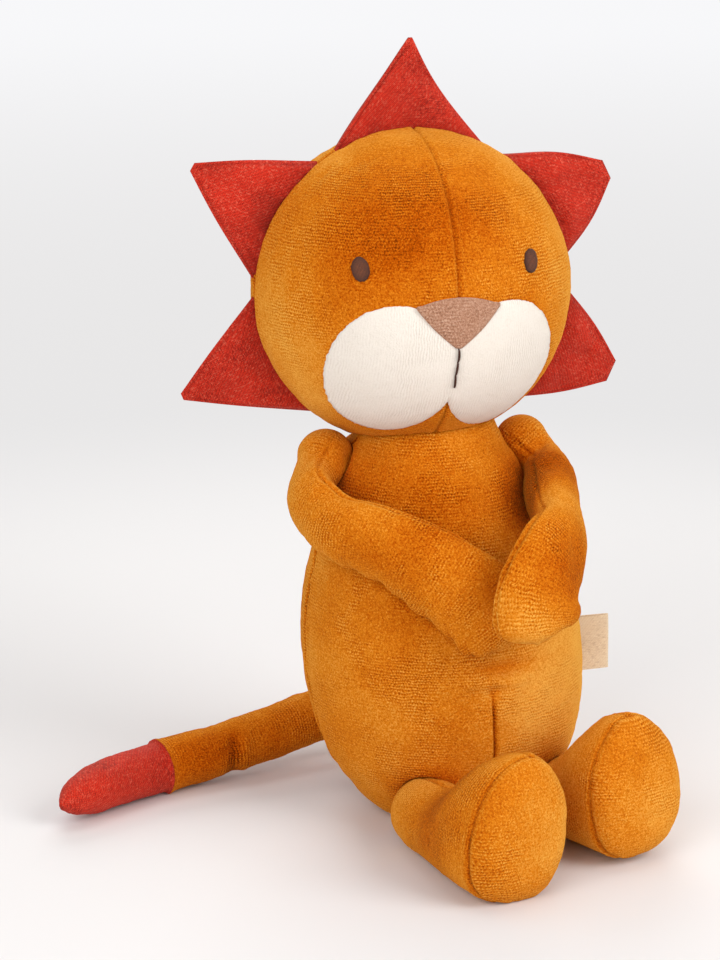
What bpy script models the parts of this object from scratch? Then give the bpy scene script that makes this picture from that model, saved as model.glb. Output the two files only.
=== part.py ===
"""A seated plush lion: sewn velour covers over stuffing, on a body whose limbs turn at their seams.

The lion faces -Y, its left side is +X, and it sits on the plane z = 0 with its seat at the origin.
Every cover is a real sheet of cloth with its own thickness. It is split where the toy is sewn, and
lies over the stuffing that fills it. All lengths are in metres.
"""

from math import asin, cos, hypot, pi, radians, sin, sqrt

import bmesh
import bpy
from mathutils import Matrix, Vector

# Cloth, thread and clearances
VELOUR = 0.0012
WOVEN = 0.0006
THREAD = 0.0008
SEAM_GAP = 0.0003
FIT_GAP = 0.0003
PATCH_GAP = 0.0004
LIMB_GAP = 0.0006
OVERRUN = 0.004
SMOOTH_ANGLE = radians(50)
LEAST_SPREAD_SHARE = 0.7
LEAST_MITRE_SHARE = 0.5
CURVE_STEPS = 24

# The rounded root of a limb: where its rings stand round the ball, from its far end
ROOT_ANGLES = (32, 62, 90)
ARM_ROOT_ANGLES = (32, 62, 90, 125)

# Torso: heights are measured from the floor, and it ends in a ball that the head sits over
TORSO_HEIGHT = 0.124
BELLY_WIDTH = 0.0976
SEAT_RADIUS = 0.0235
SEAT_SEAM_SETBACK = 0.010
TORSO_DEPTH_SHARE = 0.88
LEAN_BACK = 0.010
LEAN_SIDE = -0.0085
TORSO_COLUMNS = 20
# One pair for each ring: its height as a share of the torso's, its width as one of the belly's
TORSO_RING_SHARES = (
    (0.03, 0.61),
    (0.10, 0.755),
    (0.20, 0.895),
    (0.33, 0.98),
    (0.48, 1.0),
    (0.62, 0.95),
    (0.76, 0.845),
    (0.89, 0.715),
    (1.0, 0.625),
    (1.035, 0.565),
)
NECK_RADIUS = 0.0275
NECK_SINK = 0.002
NECK_RING_SHARES = (0.03, 0.36, 0.68)
NECK_EMERGE_SHARE = 0.8
DART_ANGLE = radians(3)
DART_FOOT = 0.004
DART_HEIGHT = 0.057
DART_WIDTH = 0.0004
DART_STEPS = 4

# Bag of pellets in the seat, and the pocket for it in the stuffing
PELLET_BAG_RADIUS = 0.0165
PELLET_BAG_HEIGHT = 0.016
PELLET_BAG_COLUMNS = 12
PELLET_BAG_ANGLES = (0, 30, 60)

# Woven tag in the left side seam
TAG_HEIGHT = 0.0195
TAG_REACH = 0.0132
TAG_MIDDLE = 0.053
TAG_RIBBON = 0.00045
TAG_ROWS = 4

# Head
HEAD_WIDTH = 0.1088
HEAD_HEIGHT = 0.106
HEAD_FRONT = 0.050
HEAD_BACK = 0.047
HEAD_RISE = 0.058
HEAD_COLUMNS = 24
HEAD_FRONT_ANGLES = (16, 34, 52, 71)
HEAD_BACK_ANGLES = (109, 128, 146, 164)
CUP_SEGMENTS = 32
SOCKET_SEGMENTS = 20

# Face, measured across the front of the head from its middle
EYE_WIDTH = 0.0055
EYE_HEIGHT = 0.0082
EYE_SPREAD = 0.0285
EYE_RISE = 0.0141
EYE_SHIFT = -0.0012
EYE_POINTS = 12
LOBE_WIDTH = 0.0404
LOBE_HEIGHT = 0.0455
LOBE_SPREAD = 0.0181
LOBE_DROP = 0.0198
LOBE_TILT = radians(10)
MUZZLE_SHIFT = -0.0006
MUZZLE_POINTS = 32
MUZZLE_RING_SHARES = (0.3, 0.56, 0.79, 1.0)
NOSE_WIDTH = 0.0300
NOSE_TOP = 0.0042
NOSE_BOTTOM = -0.0122
NOSE_CORNER = 0.0054
NOSE_CORNER_STEPS = 4
PATCH_RING_SHARES = (0.55, 1.0)
MOUTH_BOTTOM = -0.0250
MOUTH_WIDTH = 0.0010
MOUTH_STEPS = 5

# Mane: pointed cushions of woven cloth sewn into the seam round the head
MANE_REACH = 0.032
MANE_THICKNESS = 0.010
MANE_SETBACK = 0.002
MANE_TIP_WIDTH = 0.003
# How a point swells: fullness of its edges, of its tip, and how much of it stands even at its seam
MANE_EDGE_SHARE = 2.2
MANE_TIP_SHARE = 0.45
MANE_FLAT_SHARE = 0.62
MANE_CREST_SHARE = 1.6
# Each point: name, side, the two ends of its seam and its tip round from straight up, reach share
MANE_POINT_SHARES = (
    ("top", 1, -31.5, 31.5, 0, 0.90),
    ("upper_right", -1, 34, 87, 60, 1.0),
    ("lower_right", -1, 89.5, 144, 113, 1.0),
    ("upper_left", 1, 34, 87, 63, 0.80),
    ("lower_left", 1, 89.5, 144, 115, 0.88),
)
# The grid of a mane point: across it from its middle, and up it from its seam
MANE_ACROSS_SHARES = (-1.0, -0.8, -0.42, 0.0, 0.42, 0.8, 1.0)
MANE_UP_SHARES = (0.0, 0.25, 0.5, 0.7, 0.86, 1.0)

# Arms: each lies along a path over the torso, given by its stations there
ARM_LENGTH = 0.107
ARM_WIDTH = 0.0215
ARM_THICKNESS = 0.0155
HAND_WIDTH = 0.0300
SHOULDER_RADIUS = 0.0095
SHOULDER_SINK = 0.0035
SHOULDER_HEIGHT_SHARE = 1.016129
ARM_COLUMNS = 10
# Angle round the torso from the front, height as a share of the torso's, layers lain over
RIGHT_ARM_PATH_SHARES = (
    (-90, 1.01, 0),
    (-79, 0.95, 0.16),
    (-68, 0.907, 0.12),
    (-56, 0.877, 0.08),
    (-45, 0.862, 0.06),
    (-28, 0.824, 0.06),
    (-12, 0.765, 0.05),
    (-1.5, 0.702, 0.04),
    (5.7, 0.627, 0.04),
    (10.5, 0.565, 0.04),
    (14, 0.50, 0.04),
)
LEFT_ARM_PATH_SHARES = (
    (90, 1.01, 0),
    (82, 0.965, 0.10),
    (70, 0.935, 0.14),
    (57, 0.915, 0.22),
    (44, 0.895, 0.42),
    (32, 0.87, 0.78),
    (23.5, 0.84, 1.08),
    (17, 0.80, 1.22),
    (13.5, 0.74, 1.20),
    (12.3, 0.675, 1.12),
    (12.8, 0.60, 1.06),
)
# Distance along the arm, width towards the hand's, thickness
ARM_PROFILE_SHARES = (
    (0.17, 0.0, 0.92),
    (0.26, 0.05, 0.98),
    (0.35, 0.12, 1.0),
    (0.44, 0.22, 1.0),
    (0.53, 0.38, 1.0),
    (0.63, 0.74, 1.0),
    (0.75, 0.98, 0.98),
    (0.86, 1.0, 0.92),
    (0.945, 0.70, 0.76),
)
HAND_END_SHARES = (0.987, 0.42, 0.42)

# Legs: a tube that runs forward from the hip and turns up into the foot
LEG_LENGTH = 0.0540
LEG_WIDTH = 0.0245
HIP_RADIUS = 0.0122
HIP_SINK = 0.0050
FOOT_WIDTH = 0.0370
FOOT_HEIGHT = 0.0490
SOLE_DOME = 0.0035
FLOOR_CUT = 0.0005
LEG_COLUMNS = 14
# Each leg: name, hip's angle round the torso, heading, lift, roll of its foot, share pressed in
LEG_SHARES = (("right", -29, 16, 0, -11, 0.0), ("left", 42, 18, 4, 4, 0.23))
# Distance along the leg, width towards the foot's, height towards the foot's
LEG_PROFILE_SHARES = (
    (0.27, 0.08, 0.02),
    (0.45, 0.46, 0.28),
    (0.62, 0.88, 0.57),
    (0.79, 1.0, 0.84),
    (0.95, 1.0, 1.0),
)
SOLE_RING_SHARES = ((0.80, 0.55), (0.42, 0.92))

# Tail: a tube that leaves the back of the seat and lies along the floor to the right
TAIL_LENGTH = 0.153
TAIL_WIDTH = 0.0184
TAIL_TIP_WIDTH = 0.0194
TAIL_ROOT_RADIUS = 0.0080
TAIL_ROOT_SINK = 0.0035
TAIL_ROOT_HEIGHT = 0.0215
TAIL_COLUMNS = 10
TAIL_CUFF_SHARE = 0.68
# Places along the tail: beside and behind its root as shares of its length, and how far it is down
TAIL_PATH_SHARES = (
    (0.0, 0.0, 0.0),
    (-0.065, 0.085, 0.10),
    (-0.21, 0.085, 0.38),
    (-0.41, 0.035, 0.74),
    (-0.62, -0.013, 1.0),
    (-0.75, -0.08, 1.0),
    (-0.85, -0.153, 1.0),
    (-0.93, -0.22, 1.0),
    (-0.98, -0.28, 1.0),
)
# Distance along the tail, width towards the tip's
TAIL_PROFILE_SHARES = (
    (0.13, 0.0),
    (0.26, 0.0),
    (0.40, 0.1),
    (0.54, 0.2),
    (0.68, 0.5),
    (0.80, 1.0),
    (0.90, 0.8),
)
TAIL_END_SHARES = (0.97, 0.60)

# Colours, as seen
OCHRE = (0.56, 0.21, 0.018)
BRICK_RED = (0.58, 0.045, 0.022)
CREAM_WHITE = (0.86, 0.80, 0.74)
NOSE_BROWN = (0.47, 0.24, 0.15)
DARK_BROWN = (0.085, 0.028, 0.018)
TAG_CREAM = (0.80, 0.64, 0.48)
FIBRE_WHITE = (0.82, 0.81, 0.78)
PELLET_CLOTH = (0.60, 0.58, 0.54)


def clear_scene():
    """Empties the file, so that the lion is all it holds."""
    for item in list(bpy.data.objects):
        bpy.data.objects.remove(item, do_unlink=True)


def cloth_material(name, colour, roughness):
    """A dull cloth of one colour."""
    material = bpy.data.materials.new(name)
    material.use_nodes = True
    shader = material.node_tree.nodes["Principled BSDF"]
    shader.inputs["Base Color"].default_value = (*colour, 1.0)
    shader.inputs["Roughness"].default_value = roughness
    shader.inputs["Metallic"].default_value = 0.0
    material.diffuse_color = (*colour, 1.0)
    return material


def solid(name, points, faces, material, pivot):
    """A closed mesh object whose origin is at the pivot that it turns on."""
    mesh = bpy.data.meshes.new(name)
    mesh.from_pydata([point - pivot for point in points], [], faces)
    mesh.materials.append(material)
    mesh.validate()
    mesh.shade_smooth()
    mesh.set_sharp_from_angle(angle=SMOOTH_ANGLE)
    item = bpy.data.objects.new(name, mesh)
    item.location = pivot
    bpy.context.scene.collection.objects.link(item)
    return item


def outward(points, faces):
    """The faces, all turned over if the body that they close is inside out."""
    volume = 0.0
    for face in faces:
        for second, third in zip(face[1:-1], face[2:]):
            volume += points[face[0]].dot(points[second].cross(points[third]))
    return faces if volume > 0 else [face[::-1] for face in faces]


def split(points, face):
    """A face as triangles: a quad is cut along its shorter diagonal."""
    if len(face) == 3:
        return [face]
    a, b, c, d = face
    if (points[a] - points[c]).length < (points[b] - points[d]).length:
        return [(a, b, c), (a, c, d)]
    return [(a, b, d), (b, c, d)]


def face_normal(points, face):
    """The unit normal of a triangle."""
    first, second, third = (points[index] for index in face)
    return (second - first).cross(third - first).normalized()


class Skin:
    """The outer surface of a stuffed form: rings of points between two end points."""

    def __init__(self, first, rings, last):
        self.columns = len(rings[0])
        self.points = [first] + [point for ring in rings for point in ring] + [last]
        self.cells = []
        faces = []
        for row in range(len(rings) + 1):
            for column in range(self.columns):
                for face in split(self.points, self.cell_corners(row, column, len(rings))):
                    faces.append(face)
                    self.cells.append((row, column))
        self.faces = outward(self.points, faces)
        self.depths = self.depth_directions()

    def cell_corners(self, row, column, ring_count):
        """The corners of one face, a triangle beside an end point and a quad elsewhere."""
        beside = (column + 1) % self.columns
        upper = 1 + (row - 1) * self.columns
        lower = 1 + row * self.columns
        if row == 0:
            return (0, lower + column, lower + beside)
        if row == ring_count:
            return (upper + beside, upper + column, len(self.points) - 1)
        return (upper + column, lower + column, lower + beside, upper + beside)

    def depth_directions(self):
        """For each point, the way inwards that keeps an even depth under the faces round it."""
        around = [[] for _ in self.points]
        for face in self.faces:
            normal = face_normal(self.points, face)
            for index in face:
                around[index].append(normal)
        depths = []
        for normals in around:
            mean = sum(normals, Vector()).normalized()
            spread = sum(mean.dot(normal) for normal in normals) / len(normals)
            depths.append(-mean / max(spread, LEAST_SPREAD_SHARE))
        return depths


def boundary_edges(faces):
    """The directed edges that belong to one face only."""
    edges = {(a, b) for face in faces for a, b in zip(face, face[1:] + face[:1])}
    return [edge for edge in edges if (edge[1], edge[0]) not in edges]


def set_back(skin, faces, edges):
    """How far each point on a panel's edge moves in, so that half a seam gap is left there."""
    owners = {(a, b): face for face in faces for a, b in zip(face, face[1:] + face[:1])}
    inwards = {}
    for a, b in edges:
        normal = face_normal(skin.points, owners[(a, b)])
        inward = normal.cross(skin.points[b] - skin.points[a]).normalized()
        inwards.setdefault(a, []).append(inward)
        inwards.setdefault(b, []).append(inward)
    moves = {}
    for index, pair in inwards.items():
        mitre = max(1 + pair[0].dot(pair[-1]), LEAST_MITRE_SHARE)
        moves[index] = (pair[0] + pair[-1]) / mitre * SEAM_GAP / 2
    return moves


def sewn_panel(name, skin, belongs, cloth, material, pivot):
    """One cut piece of a cover, with the thickness of its cloth and a gap along its seams."""
    faces = [face for face, cell in zip(skin.faces, skin.cells) if belongs(*cell)]
    edges = boundary_edges(faces)
    moves = set_back(skin, faces, edges)
    used = sorted({index for face in faces for index in face})
    place = {index: number for number, index in enumerate(used)}
    top = [skin.points[index] + moves.get(index, Vector()) for index in used]
    under = [point + skin.depths[index] * cloth for point, index in zip(top, used)]
    count = len(used)
    outer = [tuple(place[index] for index in face) for face in faces]
    inner = [tuple(count + index for index in face[::-1]) for face in outer]
    rim = [face for a, b in edges for face in rim_faces(place[a], place[b], count, a < b)]
    return solid(name, top + under, outer + inner + rim, material, pivot)


def rim_faces(a, b, count, forward):
    """Two triangles across a cut edge, split alike on both of the panels that meet there."""
    if forward:
        return [(b, a, count + b), (a, count + a, count + b)]
    return [(b, a, count + a), (b, count + a, count + b)]


def stuffing(name, skin, cloth, material, pivot):
    """The filling of a cover: its skin, drawn in by the cloth and a small gap."""
    depth = cloth + FIT_GAP
    points = [point + way * depth for point, way in zip(skin.points, skin.depths)]
    return solid(name, points, skin.faces, material, pivot)


def guide(name, mesh, location):
    """An object that only cuts others."""
    item = bpy.data.objects.new(name, mesh)
    item.location = location
    item.hide_render = True
    item.display_type = "WIRE"
    bpy.context.scene.collection.objects.link(item)
    return item


def ball_cutter(name, centre, radius, segments):
    """A ball whose flats, and not only its corners, stay outside the radius."""
    mesh = bpy.data.meshes.new(name)
    form = bmesh.new()
    reach = radius / cos(pi / segments) ** 2
    rings = segments // 2
    bmesh.ops.create_uvsphere(form, u_segments=segments, v_segments=rings, radius=reach)
    form.to_mesh(mesh)
    form.free()
    return guide(name, mesh, centre)


def carve(item, cutter):
    """Cuts one object out of another."""
    cut = item.modifiers.new("cut by " + cutter.name, "BOOLEAN")
    cut.operation = "DIFFERENCE"
    cut.solver = "EXACT"
    cut.object = cutter


def curve_through(points, share):
    """A place on the smooth curve through a row of points, at a share of their count."""
    spans = len(points) - 1
    start = min(int(share * spans), spans - 1)
    step = share * spans - start
    before = points[start - 1] if start > 0 else points[0] * 2 - points[1]
    after = points[start + 2] if start + 2 <= spans else points[spans] * 2 - points[spans - 1]
    near, far = points[start], points[start + 1]
    return (
        near * 2
        + (far - before) * step
        + (before * 2 - near * 5 + far * 4 - after) * step**2
        + (near * 3 - before - far * 3 + after) * step**3
    ) / 2


def along(points, distance):
    """The place and direction at a distance along the smooth curve through the points."""
    steps = CURVE_STEPS * len(points)
    here = points[0]
    for number in range(1, steps + 1):
        there = curve_through(points, number / steps)
        length = (there - here).length
        if distance <= length or number == steps:
            way = (there - here).normalized()
            return here + way * distance, way
        distance -= length
        here = there


def ring(centre, side, face, half_width, half_thickness, count):
    """An oval of points: the first and the one opposite lie at the ends of its width."""
    points = []
    for number in range(count):
        turn = 2 * pi * number / count
        points.append(centre + side * half_width * cos(turn) + face * half_thickness * sin(turn))
    return points


def ball_rings(centre, way, side, face, radius, angles, count):
    """The rounded root of a limb, from its far end to just past its middle."""
    rings = []
    for angle in angles:
        middle = centre - way * radius * cos(radians(angle))
        reach = radius * sin(radians(angle))
        rings.append(ring(middle, side, face, reach, reach, count))
    return rings


def mix(low, high, share):
    """A value between two others."""
    return low + (high - low) * share


def torso_axis(height):
    """The middle of the torso at a height, which leans with the whole of the body."""
    share = height / TORSO_HEIGHT
    return Vector((LEAN_SIDE * share, LEAN_BACK * share, height))


NECK = torso_axis(TORSO_HEIGHT - NECK_SINK)
HEAD_CENTRE = torso_axis(TORSO_HEIGHT + HEAD_RISE)


def torso_stations():
    """Height and half width of each ring of the torso, from the floor to the neck."""
    rings = [(share * TORSO_HEIGHT, wide * BELLY_WIDTH / 2) for share, wide in TORSO_RING_SHARES]
    return [(0.0, SEAT_RADIUS)] + rings


def torso_half_width(height):
    """Half the torso's width at a height, as straight between its rings as its cover is."""
    stations = torso_stations()
    for (low, wide), (high, next_wide) in zip(stations, stations[1:]):
        if height <= high:
            return mix(wide, next_wide, max(height - low, 0.0) / (high - low))
    return stations[-1][1]


def torso_half_depth(height):
    """Half the torso's depth, which grows round towards the neck."""
    share = min(height / TORSO_HEIGHT, 1.0)
    return torso_half_width(height) * mix(TORSO_DEPTH_SHARE, 1.0, share**2)


def torso_direction(angle, height):
    """The level way out of the torso's surface at an angle round it from the front."""
    wide, deep = torso_half_width(height), torso_half_depth(height)
    return Vector((sin(angle) * deep, -cos(angle) * wide, 0.0)).normalized()


def torso_place(angle, height, out):
    """A place at a distance out from the torso's surface."""
    wide, deep = torso_half_width(height), torso_half_depth(height)
    surface = torso_axis(height) + Vector((wide * sin(angle), -deep * cos(angle), 0.0))
    return surface + torso_direction(angle, height) * out


def torso_skin():
    """The surface of the torso, from the flat seat up over the ball of the neck."""
    turns = [2 * pi * number / TORSO_COLUMNS for number in range(TORSO_COLUMNS)]
    stations = torso_stations()
    rings = [[torso_place(turn, height, 0.0) for turn in turns] for height, _ in stations]
    shoulder = min((stations[-1][0] - NECK.z) / NECK_RADIUS, NECK_EMERGE_SHARE)
    for share in NECK_RING_SHARES:
        angle = mix(asin(shoulder), pi / 2, share)
        reach = NECK_RADIUS * cos(angle)
        middle = NECK + Vector((0.0, 0.0, NECK_RADIUS * sin(angle)))
        rings.append([middle + Vector((sin(turn), -cos(turn), 0.0)) * reach for turn in turns])
    top = NECK + Vector((0.0, 0.0, NECK_RADIUS))
    seat = torso_axis(0.0) + Vector((0.0, SEAT_SEAM_SETBACK, 0.0))
    return Skin(seat, rings, top)


def in_front(row, column):
    """Keeps the front half of the torso."""
    quarter = TORSO_COLUMNS // 4
    return column < quarter or column >= TORSO_COLUMNS - quarter


def in_back_left(row, column):
    """Keeps the left half of the torso's back."""
    return TORSO_COLUMNS // 4 <= column < TORSO_COLUMNS // 2


def in_back_right(row, column):
    """Keeps the right half of the torso's back."""
    return TORSO_COLUMNS // 2 <= column < TORSO_COLUMNS - TORSO_COLUMNS // 4


def dart_cutter():
    """A thin upright blade that runs up the front of the cover: the dart of the lower belly."""
    half = Vector((DART_WIDTH / 2, 0.0, 0.0))
    outer, inner = [], []
    for number in range(DART_STEPS + 1):
        height = mix(DART_FOOT, DART_HEIGHT, number / DART_STEPS)
        outer.append(torso_place(DART_ANGLE, height, OVERRUN))
        inner.append(torso_place(DART_ANGLE, height, -OVERRUN))
    outline = outer + inner[::-1]
    count = len(outline)
    points = [place - half for place in outline] + [place + half for place in outline]
    faces = [(a, (a + 1) % count, count + (a + 1) % count, count + a) for a in range(count)]
    for row in range(DART_STEPS):
        cap = (row, row + 1, count - 2 - row, count - 1 - row)
        faces += [cap[::-1], tuple(count + index for index in cap)]
    mesh = bpy.data.meshes.new("dart")
    mesh.from_pydata(points, [], outward(points, faces))
    return guide("dart", mesh, Vector())


def pellet_skin(gap, drop):
    """A low round bag with a domed top, or the pocket that holds it with a gap all round."""
    floor = VELOUR + FIT_GAP - drop
    radius = PELLET_BAG_RADIUS + gap
    height = PELLET_BAG_HEIGHT + gap
    rings = []
    middle = torso_axis(0.0)
    up = Vector((0.0, 0.0, 1.0))
    side, face = Vector((1.0, 0.0, 0.0)), Vector((0.0, 1.0, 0.0))
    dome = VELOUR + FIT_GAP + height / 2
    for angle in (None, *PELLET_BAG_ANGLES):
        level = floor if angle is None else dome + height / 2 * sin(radians(angle))
        reach = radius if angle is None else radius * cos(radians(angle))
        rings.append(ring(middle + up * level, side, face, reach, reach, PELLET_BAG_COLUMNS))
    return Skin(middle + up * floor, rings, middle + up * (dome + height / 2))


def make_torso(cloth, fibre, pellet_cloth, cutters):
    """The torso's covers, its stuffing and the bag of pellets in its seat."""
    skin = torso_skin()
    origin = Vector()
    front = sewn_panel("torso_front", skin, in_front, VELOUR, cloth, origin)
    left = sewn_panel("torso_back_left", skin, in_back_left, VELOUR, cloth, origin)
    right = sewn_panel("torso_back_right", skin, in_back_right, VELOUR, cloth, origin)
    core = stuffing("torso_stuffing", skin, VELOUR, fibre, origin)
    bag = pellet_skin(0.0, 0.0)
    solid("pellet_bag", bag.points, bag.faces, pellet_cloth, origin)
    pocket = pellet_skin(FIT_GAP, OVERRUN)
    pocket_mesh = bpy.data.meshes.new("pocket")
    pocket_mesh.from_pydata(pocket.points, [], pocket.faces)
    carve(core, guide("pocket", pocket_mesh, origin))
    for names, cutter in cutters:
        for item in (front, left, right, core):
            if item.name in names:
                carve(item, cutter)
    carve(front, dart_cutter())


def make_tag(ribbon):
    """A folded ribbon that stands out of the left side seam, bare of any print."""
    rows = []
    for number in range(TAG_ROWS + 1):
        height = TAG_MIDDLE + TAG_HEIGHT * (number / TAG_ROWS - 0.5)
        inner = torso_place(pi / 2, height, FIT_GAP)
        fold = torso_place(pi / 2, TAG_MIDDLE, TAG_REACH)
        outer = Vector((fold.x, inner.y, inner.z))
        across = Vector((0.0, TAG_RIBBON + FIT_GAP / 2, 0.0))
        slit = Vector((0.0, FIT_GAP / 2, 0.0))
        bend = Vector((TAG_RIBBON, 0.0, 0.0))
        rows.append([
            inner - across, outer - across, outer + across, inner + across,
            inner + slit, outer - bend + slit, outer - bend - slit, inner - slit,
        ])
    count = len(rows[0])
    points = [point for row in rows for point in row]
    faces = [tuple(range(count)), tuple(range(count * TAG_ROWS, count * (TAG_ROWS + 1)))[::-1]]
    for row in range(TAG_ROWS):
        low, high = row * count, (row + 1) * count
        faces += [
            (low + a, high + a, high + (a + 1) % count, low + (a + 1) % count) for a in range(count)
        ]
    solid("side_tag", points, outward(points, faces), ribbon, Vector())


def head_place(angle, turn):
    """A point on the head: the angle from the face's middle, and the turn round it from the top."""
    depth = HEAD_FRONT if cos(angle) > 0 else HEAD_BACK
    across = HEAD_WIDTH / 2 * sin(angle)
    rise = HEAD_HEIGHT / 2 * sin(angle)
    return HEAD_CENTRE + Vector((across * sin(turn), -depth * cos(angle), rise * cos(turn)))


def head_skin():
    """The surface of the head, from the nose round to the back."""
    angles = [radians(angle) for angle in (*HEAD_FRONT_ANGLES, 90, *HEAD_BACK_ANGLES)]
    turns = [2 * pi * number / HEAD_COLUMNS for number in range(HEAD_COLUMNS)]
    rings = [[head_place(angle, turn) for turn in turns] for angle in angles]
    return Skin(head_place(0.0, 0.0), rings, head_place(pi, 0.0))


def make_head(cloth, fibre):
    """The head's four panels and its stuffing, hollowed below to sit over the neck."""
    skin = head_skin()
    front_rows = len(HEAD_FRONT_ANGLES) + 1
    half = HEAD_COLUMNS // 2
    panels = (
        ("head_front_left", lambda row, column: row < front_rows and column < half),
        ("head_front_right", lambda row, column: row < front_rows and column >= half),
        ("head_back_left", lambda row, column: row >= front_rows and column < half),
        ("head_back_right", lambda row, column: row >= front_rows and column >= half),
    )
    pieces = [sewn_panel(name, skin, keep, VELOUR, cloth, NECK) for name, keep in panels]
    pieces.append(stuffing("head_stuffing", skin, VELOUR, fibre, NECK))
    cup = ball_cutter("neck cup", NECK, NECK_RADIUS + FIT_GAP, CUP_SEGMENTS)
    for piece in pieces:
        carve(piece, cup)


def face_place(across, rise, out):
    """A place over the face: across and up from the head's middle, and out from its surface."""
    share = (2 * across / HEAD_WIDTH) ** 2 + (2 * rise / HEAD_HEIGHT) ** 2
    forward = HEAD_FRONT * sqrt(max(1 - share, 0.0))
    surface = Vector((across, -forward, rise))
    slope = Vector((
        across / (HEAD_WIDTH / 2) ** 2,
        -forward / HEAD_FRONT**2,
        rise / (HEAD_HEIGHT / 2) ** 2,
    ))
    return HEAD_CENTRE + surface + slope.normalized() * out


def face_patch(name, centre, outline, ring_shares, out, thickness, material):
    """A flat-cut shape laid on the face, with its rings drawn in from the outline."""
    layers = []
    for lift in (out, out + thickness):
        rows = []
        for share in ring_shares:
            rows.append([
                face_place(mix(centre[0], x, share), mix(centre[1], z, share), lift)
                for x, z in outline
            ])
        layers.append((face_place(*centre, lift), rows))
    under, over = layers
    rings = under[1] + over[1][::-1]
    skin = Skin(under[0], rings, over[0])
    return solid(name, skin.points, skin.faces, material, NECK)


def oval_outline(centre, half_width, half_height, count):
    """The points of an upright oval."""
    turns = [2 * pi * number / count for number in range(count)]
    return [(centre[0] + half_width * sin(a), centre[1] + half_height * cos(a)) for a in turns]


def lobe_reach(direction, side):
    """How far one lobe of the muzzle reaches from the point midway between the lobes."""
    lean = -side * LOBE_TILT
    x, z = sin(direction), cos(direction)
    run = (x * cos(lean) + z * sin(lean), z * cos(lean) - x * sin(lean))
    start = (-side * LOBE_SPREAD * cos(lean), side * LOBE_SPREAD * sin(lean))
    wide, tall = LOBE_WIDTH / 2, LOBE_HEIGHT / 2
    a = (run[0] / wide) ** 2 + (run[1] / tall) ** 2
    b = run[0] * start[0] / wide**2 + run[1] * start[1] / tall**2
    c = (start[0] / wide) ** 2 + (start[1] / tall) ** 2 - 1
    return (-b + sqrt(max(b * b - a * c, 0.0))) / a


def muzzle_outline():
    """Two upright lobes that run together under the nose."""
    points = []
    for number in range(MUZZLE_POINTS):
        direction = 2 * pi * number / MUZZLE_POINTS
        reach = max(lobe_reach(direction, 1), lobe_reach(direction, -1))
        points.append((MUZZLE_SHIFT + reach * sin(direction), -LOBE_DROP + reach * cos(direction)))
    return points


def nose_outline():
    """A triangle with its point down and its three corners rounded."""
    half = NOSE_WIDTH / 2
    corners = ((half, NOSE_TOP), (0.0, NOSE_BOTTOM), (-half, NOSE_TOP))
    points = []
    for number, (x, z) in enumerate(corners):
        before, after = corners[number - 1], corners[(number + 1) % 3]
        start = toward((x, z), before, NOSE_CORNER)
        end = toward((x, z), after, NOSE_CORNER)
        for step in range(NOSE_CORNER_STEPS + 1):
            share = step / NOSE_CORNER_STEPS
            points.append(tuple(
                mix(mix(near, corner, share), mix(corner, far, share), share)
                for near, corner, far in zip(start, (x, z), end)
            ))
    return points


def toward(point, target, distance):
    """The place at a distance from one point on the way to another."""
    length = hypot(target[0] - point[0], target[1] - point[1])
    return tuple(mix(point[axis], target[axis], distance / length) for axis in range(2))


def make_face(velour, nose_velour, thread, mouth_thread):
    """The muzzle, nose, mouth and eyes, each laid on what it is sewn to."""
    on_head = PATCH_GAP
    on_muzzle = on_head + VELOUR + FIT_GAP
    middle = (MUZZLE_SHIFT, -LOBE_DROP)
    rings = MUZZLE_RING_SHARES
    face_patch("muzzle_patch", middle, muzzle_outline(), rings, on_head, VELOUR, velour)
    middle = (0.0, (NOSE_TOP * 2 + NOSE_BOTTOM) / 3)
    rings = PATCH_RING_SHARES
    face_patch("nose_patch", middle, nose_outline(), rings, on_muzzle, VELOUR, nose_velour)
    for side, name in ((1, "eye_left"), (-1, "eye_right")):
        centre = (side * EYE_SPREAD + EYE_SHIFT, EYE_RISE)
        eye = oval_outline(centre, EYE_WIDTH / 2, EYE_HEIGHT / 2, EYE_POINTS)
        face_patch(name, centre, eye, rings, on_head, THREAD, thread)
    make_mouth(on_muzzle, mouth_thread)


def make_mouth(out, thread):
    """A line of stitches that runs down from the nose."""
    top = NOSE_BOTTOM - FIT_GAP
    rings = []
    half = MOUTH_WIDTH / 2
    for number in range(MOUTH_STEPS + 1):
        rise = mix(top, MOUTH_BOTTOM, number / MOUTH_STEPS)
        rings.append([
            face_place(-half, rise, out), face_place(half, rise, out),
            face_place(half, rise, out + THREAD), face_place(-half, rise, out + THREAD),
        ])
    ends = [sum(ends_of, Vector()) / 4 for ends_of in (rings[0], rings[-1])]
    skin = Skin(ends[0], rings, ends[1])
    solid("mouth_stitch", skin.points, skin.faces, thread, NECK)


def mane_place(point, across, up, depth):
    """A place in a mane point: across it from -1 to 1, and up it from its seam to its tip."""
    side, start, end, tip_turn, reach = point
    turn = mix(start, end, (across + 1) / 2)
    seam = Vector((
        (HEAD_WIDTH / 2 + FIT_GAP) * sin(turn) * side,
        0.0,
        (HEAD_HEIGHT / 2 + FIT_GAP) * cos(turn),
    ))
    out = Vector((sin(tip_turn) * side, 0.0, cos(tip_turn)))
    sideways = Vector((cos(tip_turn) * side, 0.0, -sin(tip_turn)))
    head_reach = (HEAD_WIDTH + HEAD_HEIGHT) / 4
    tip = out * (head_reach + reach) + sideways * across * MANE_TIP_WIDTH / 2
    return HEAD_CENTRE + seam.lerp(tip, up) + Vector((0.0, MANE_SETBACK + depth, 0.0))


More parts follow.
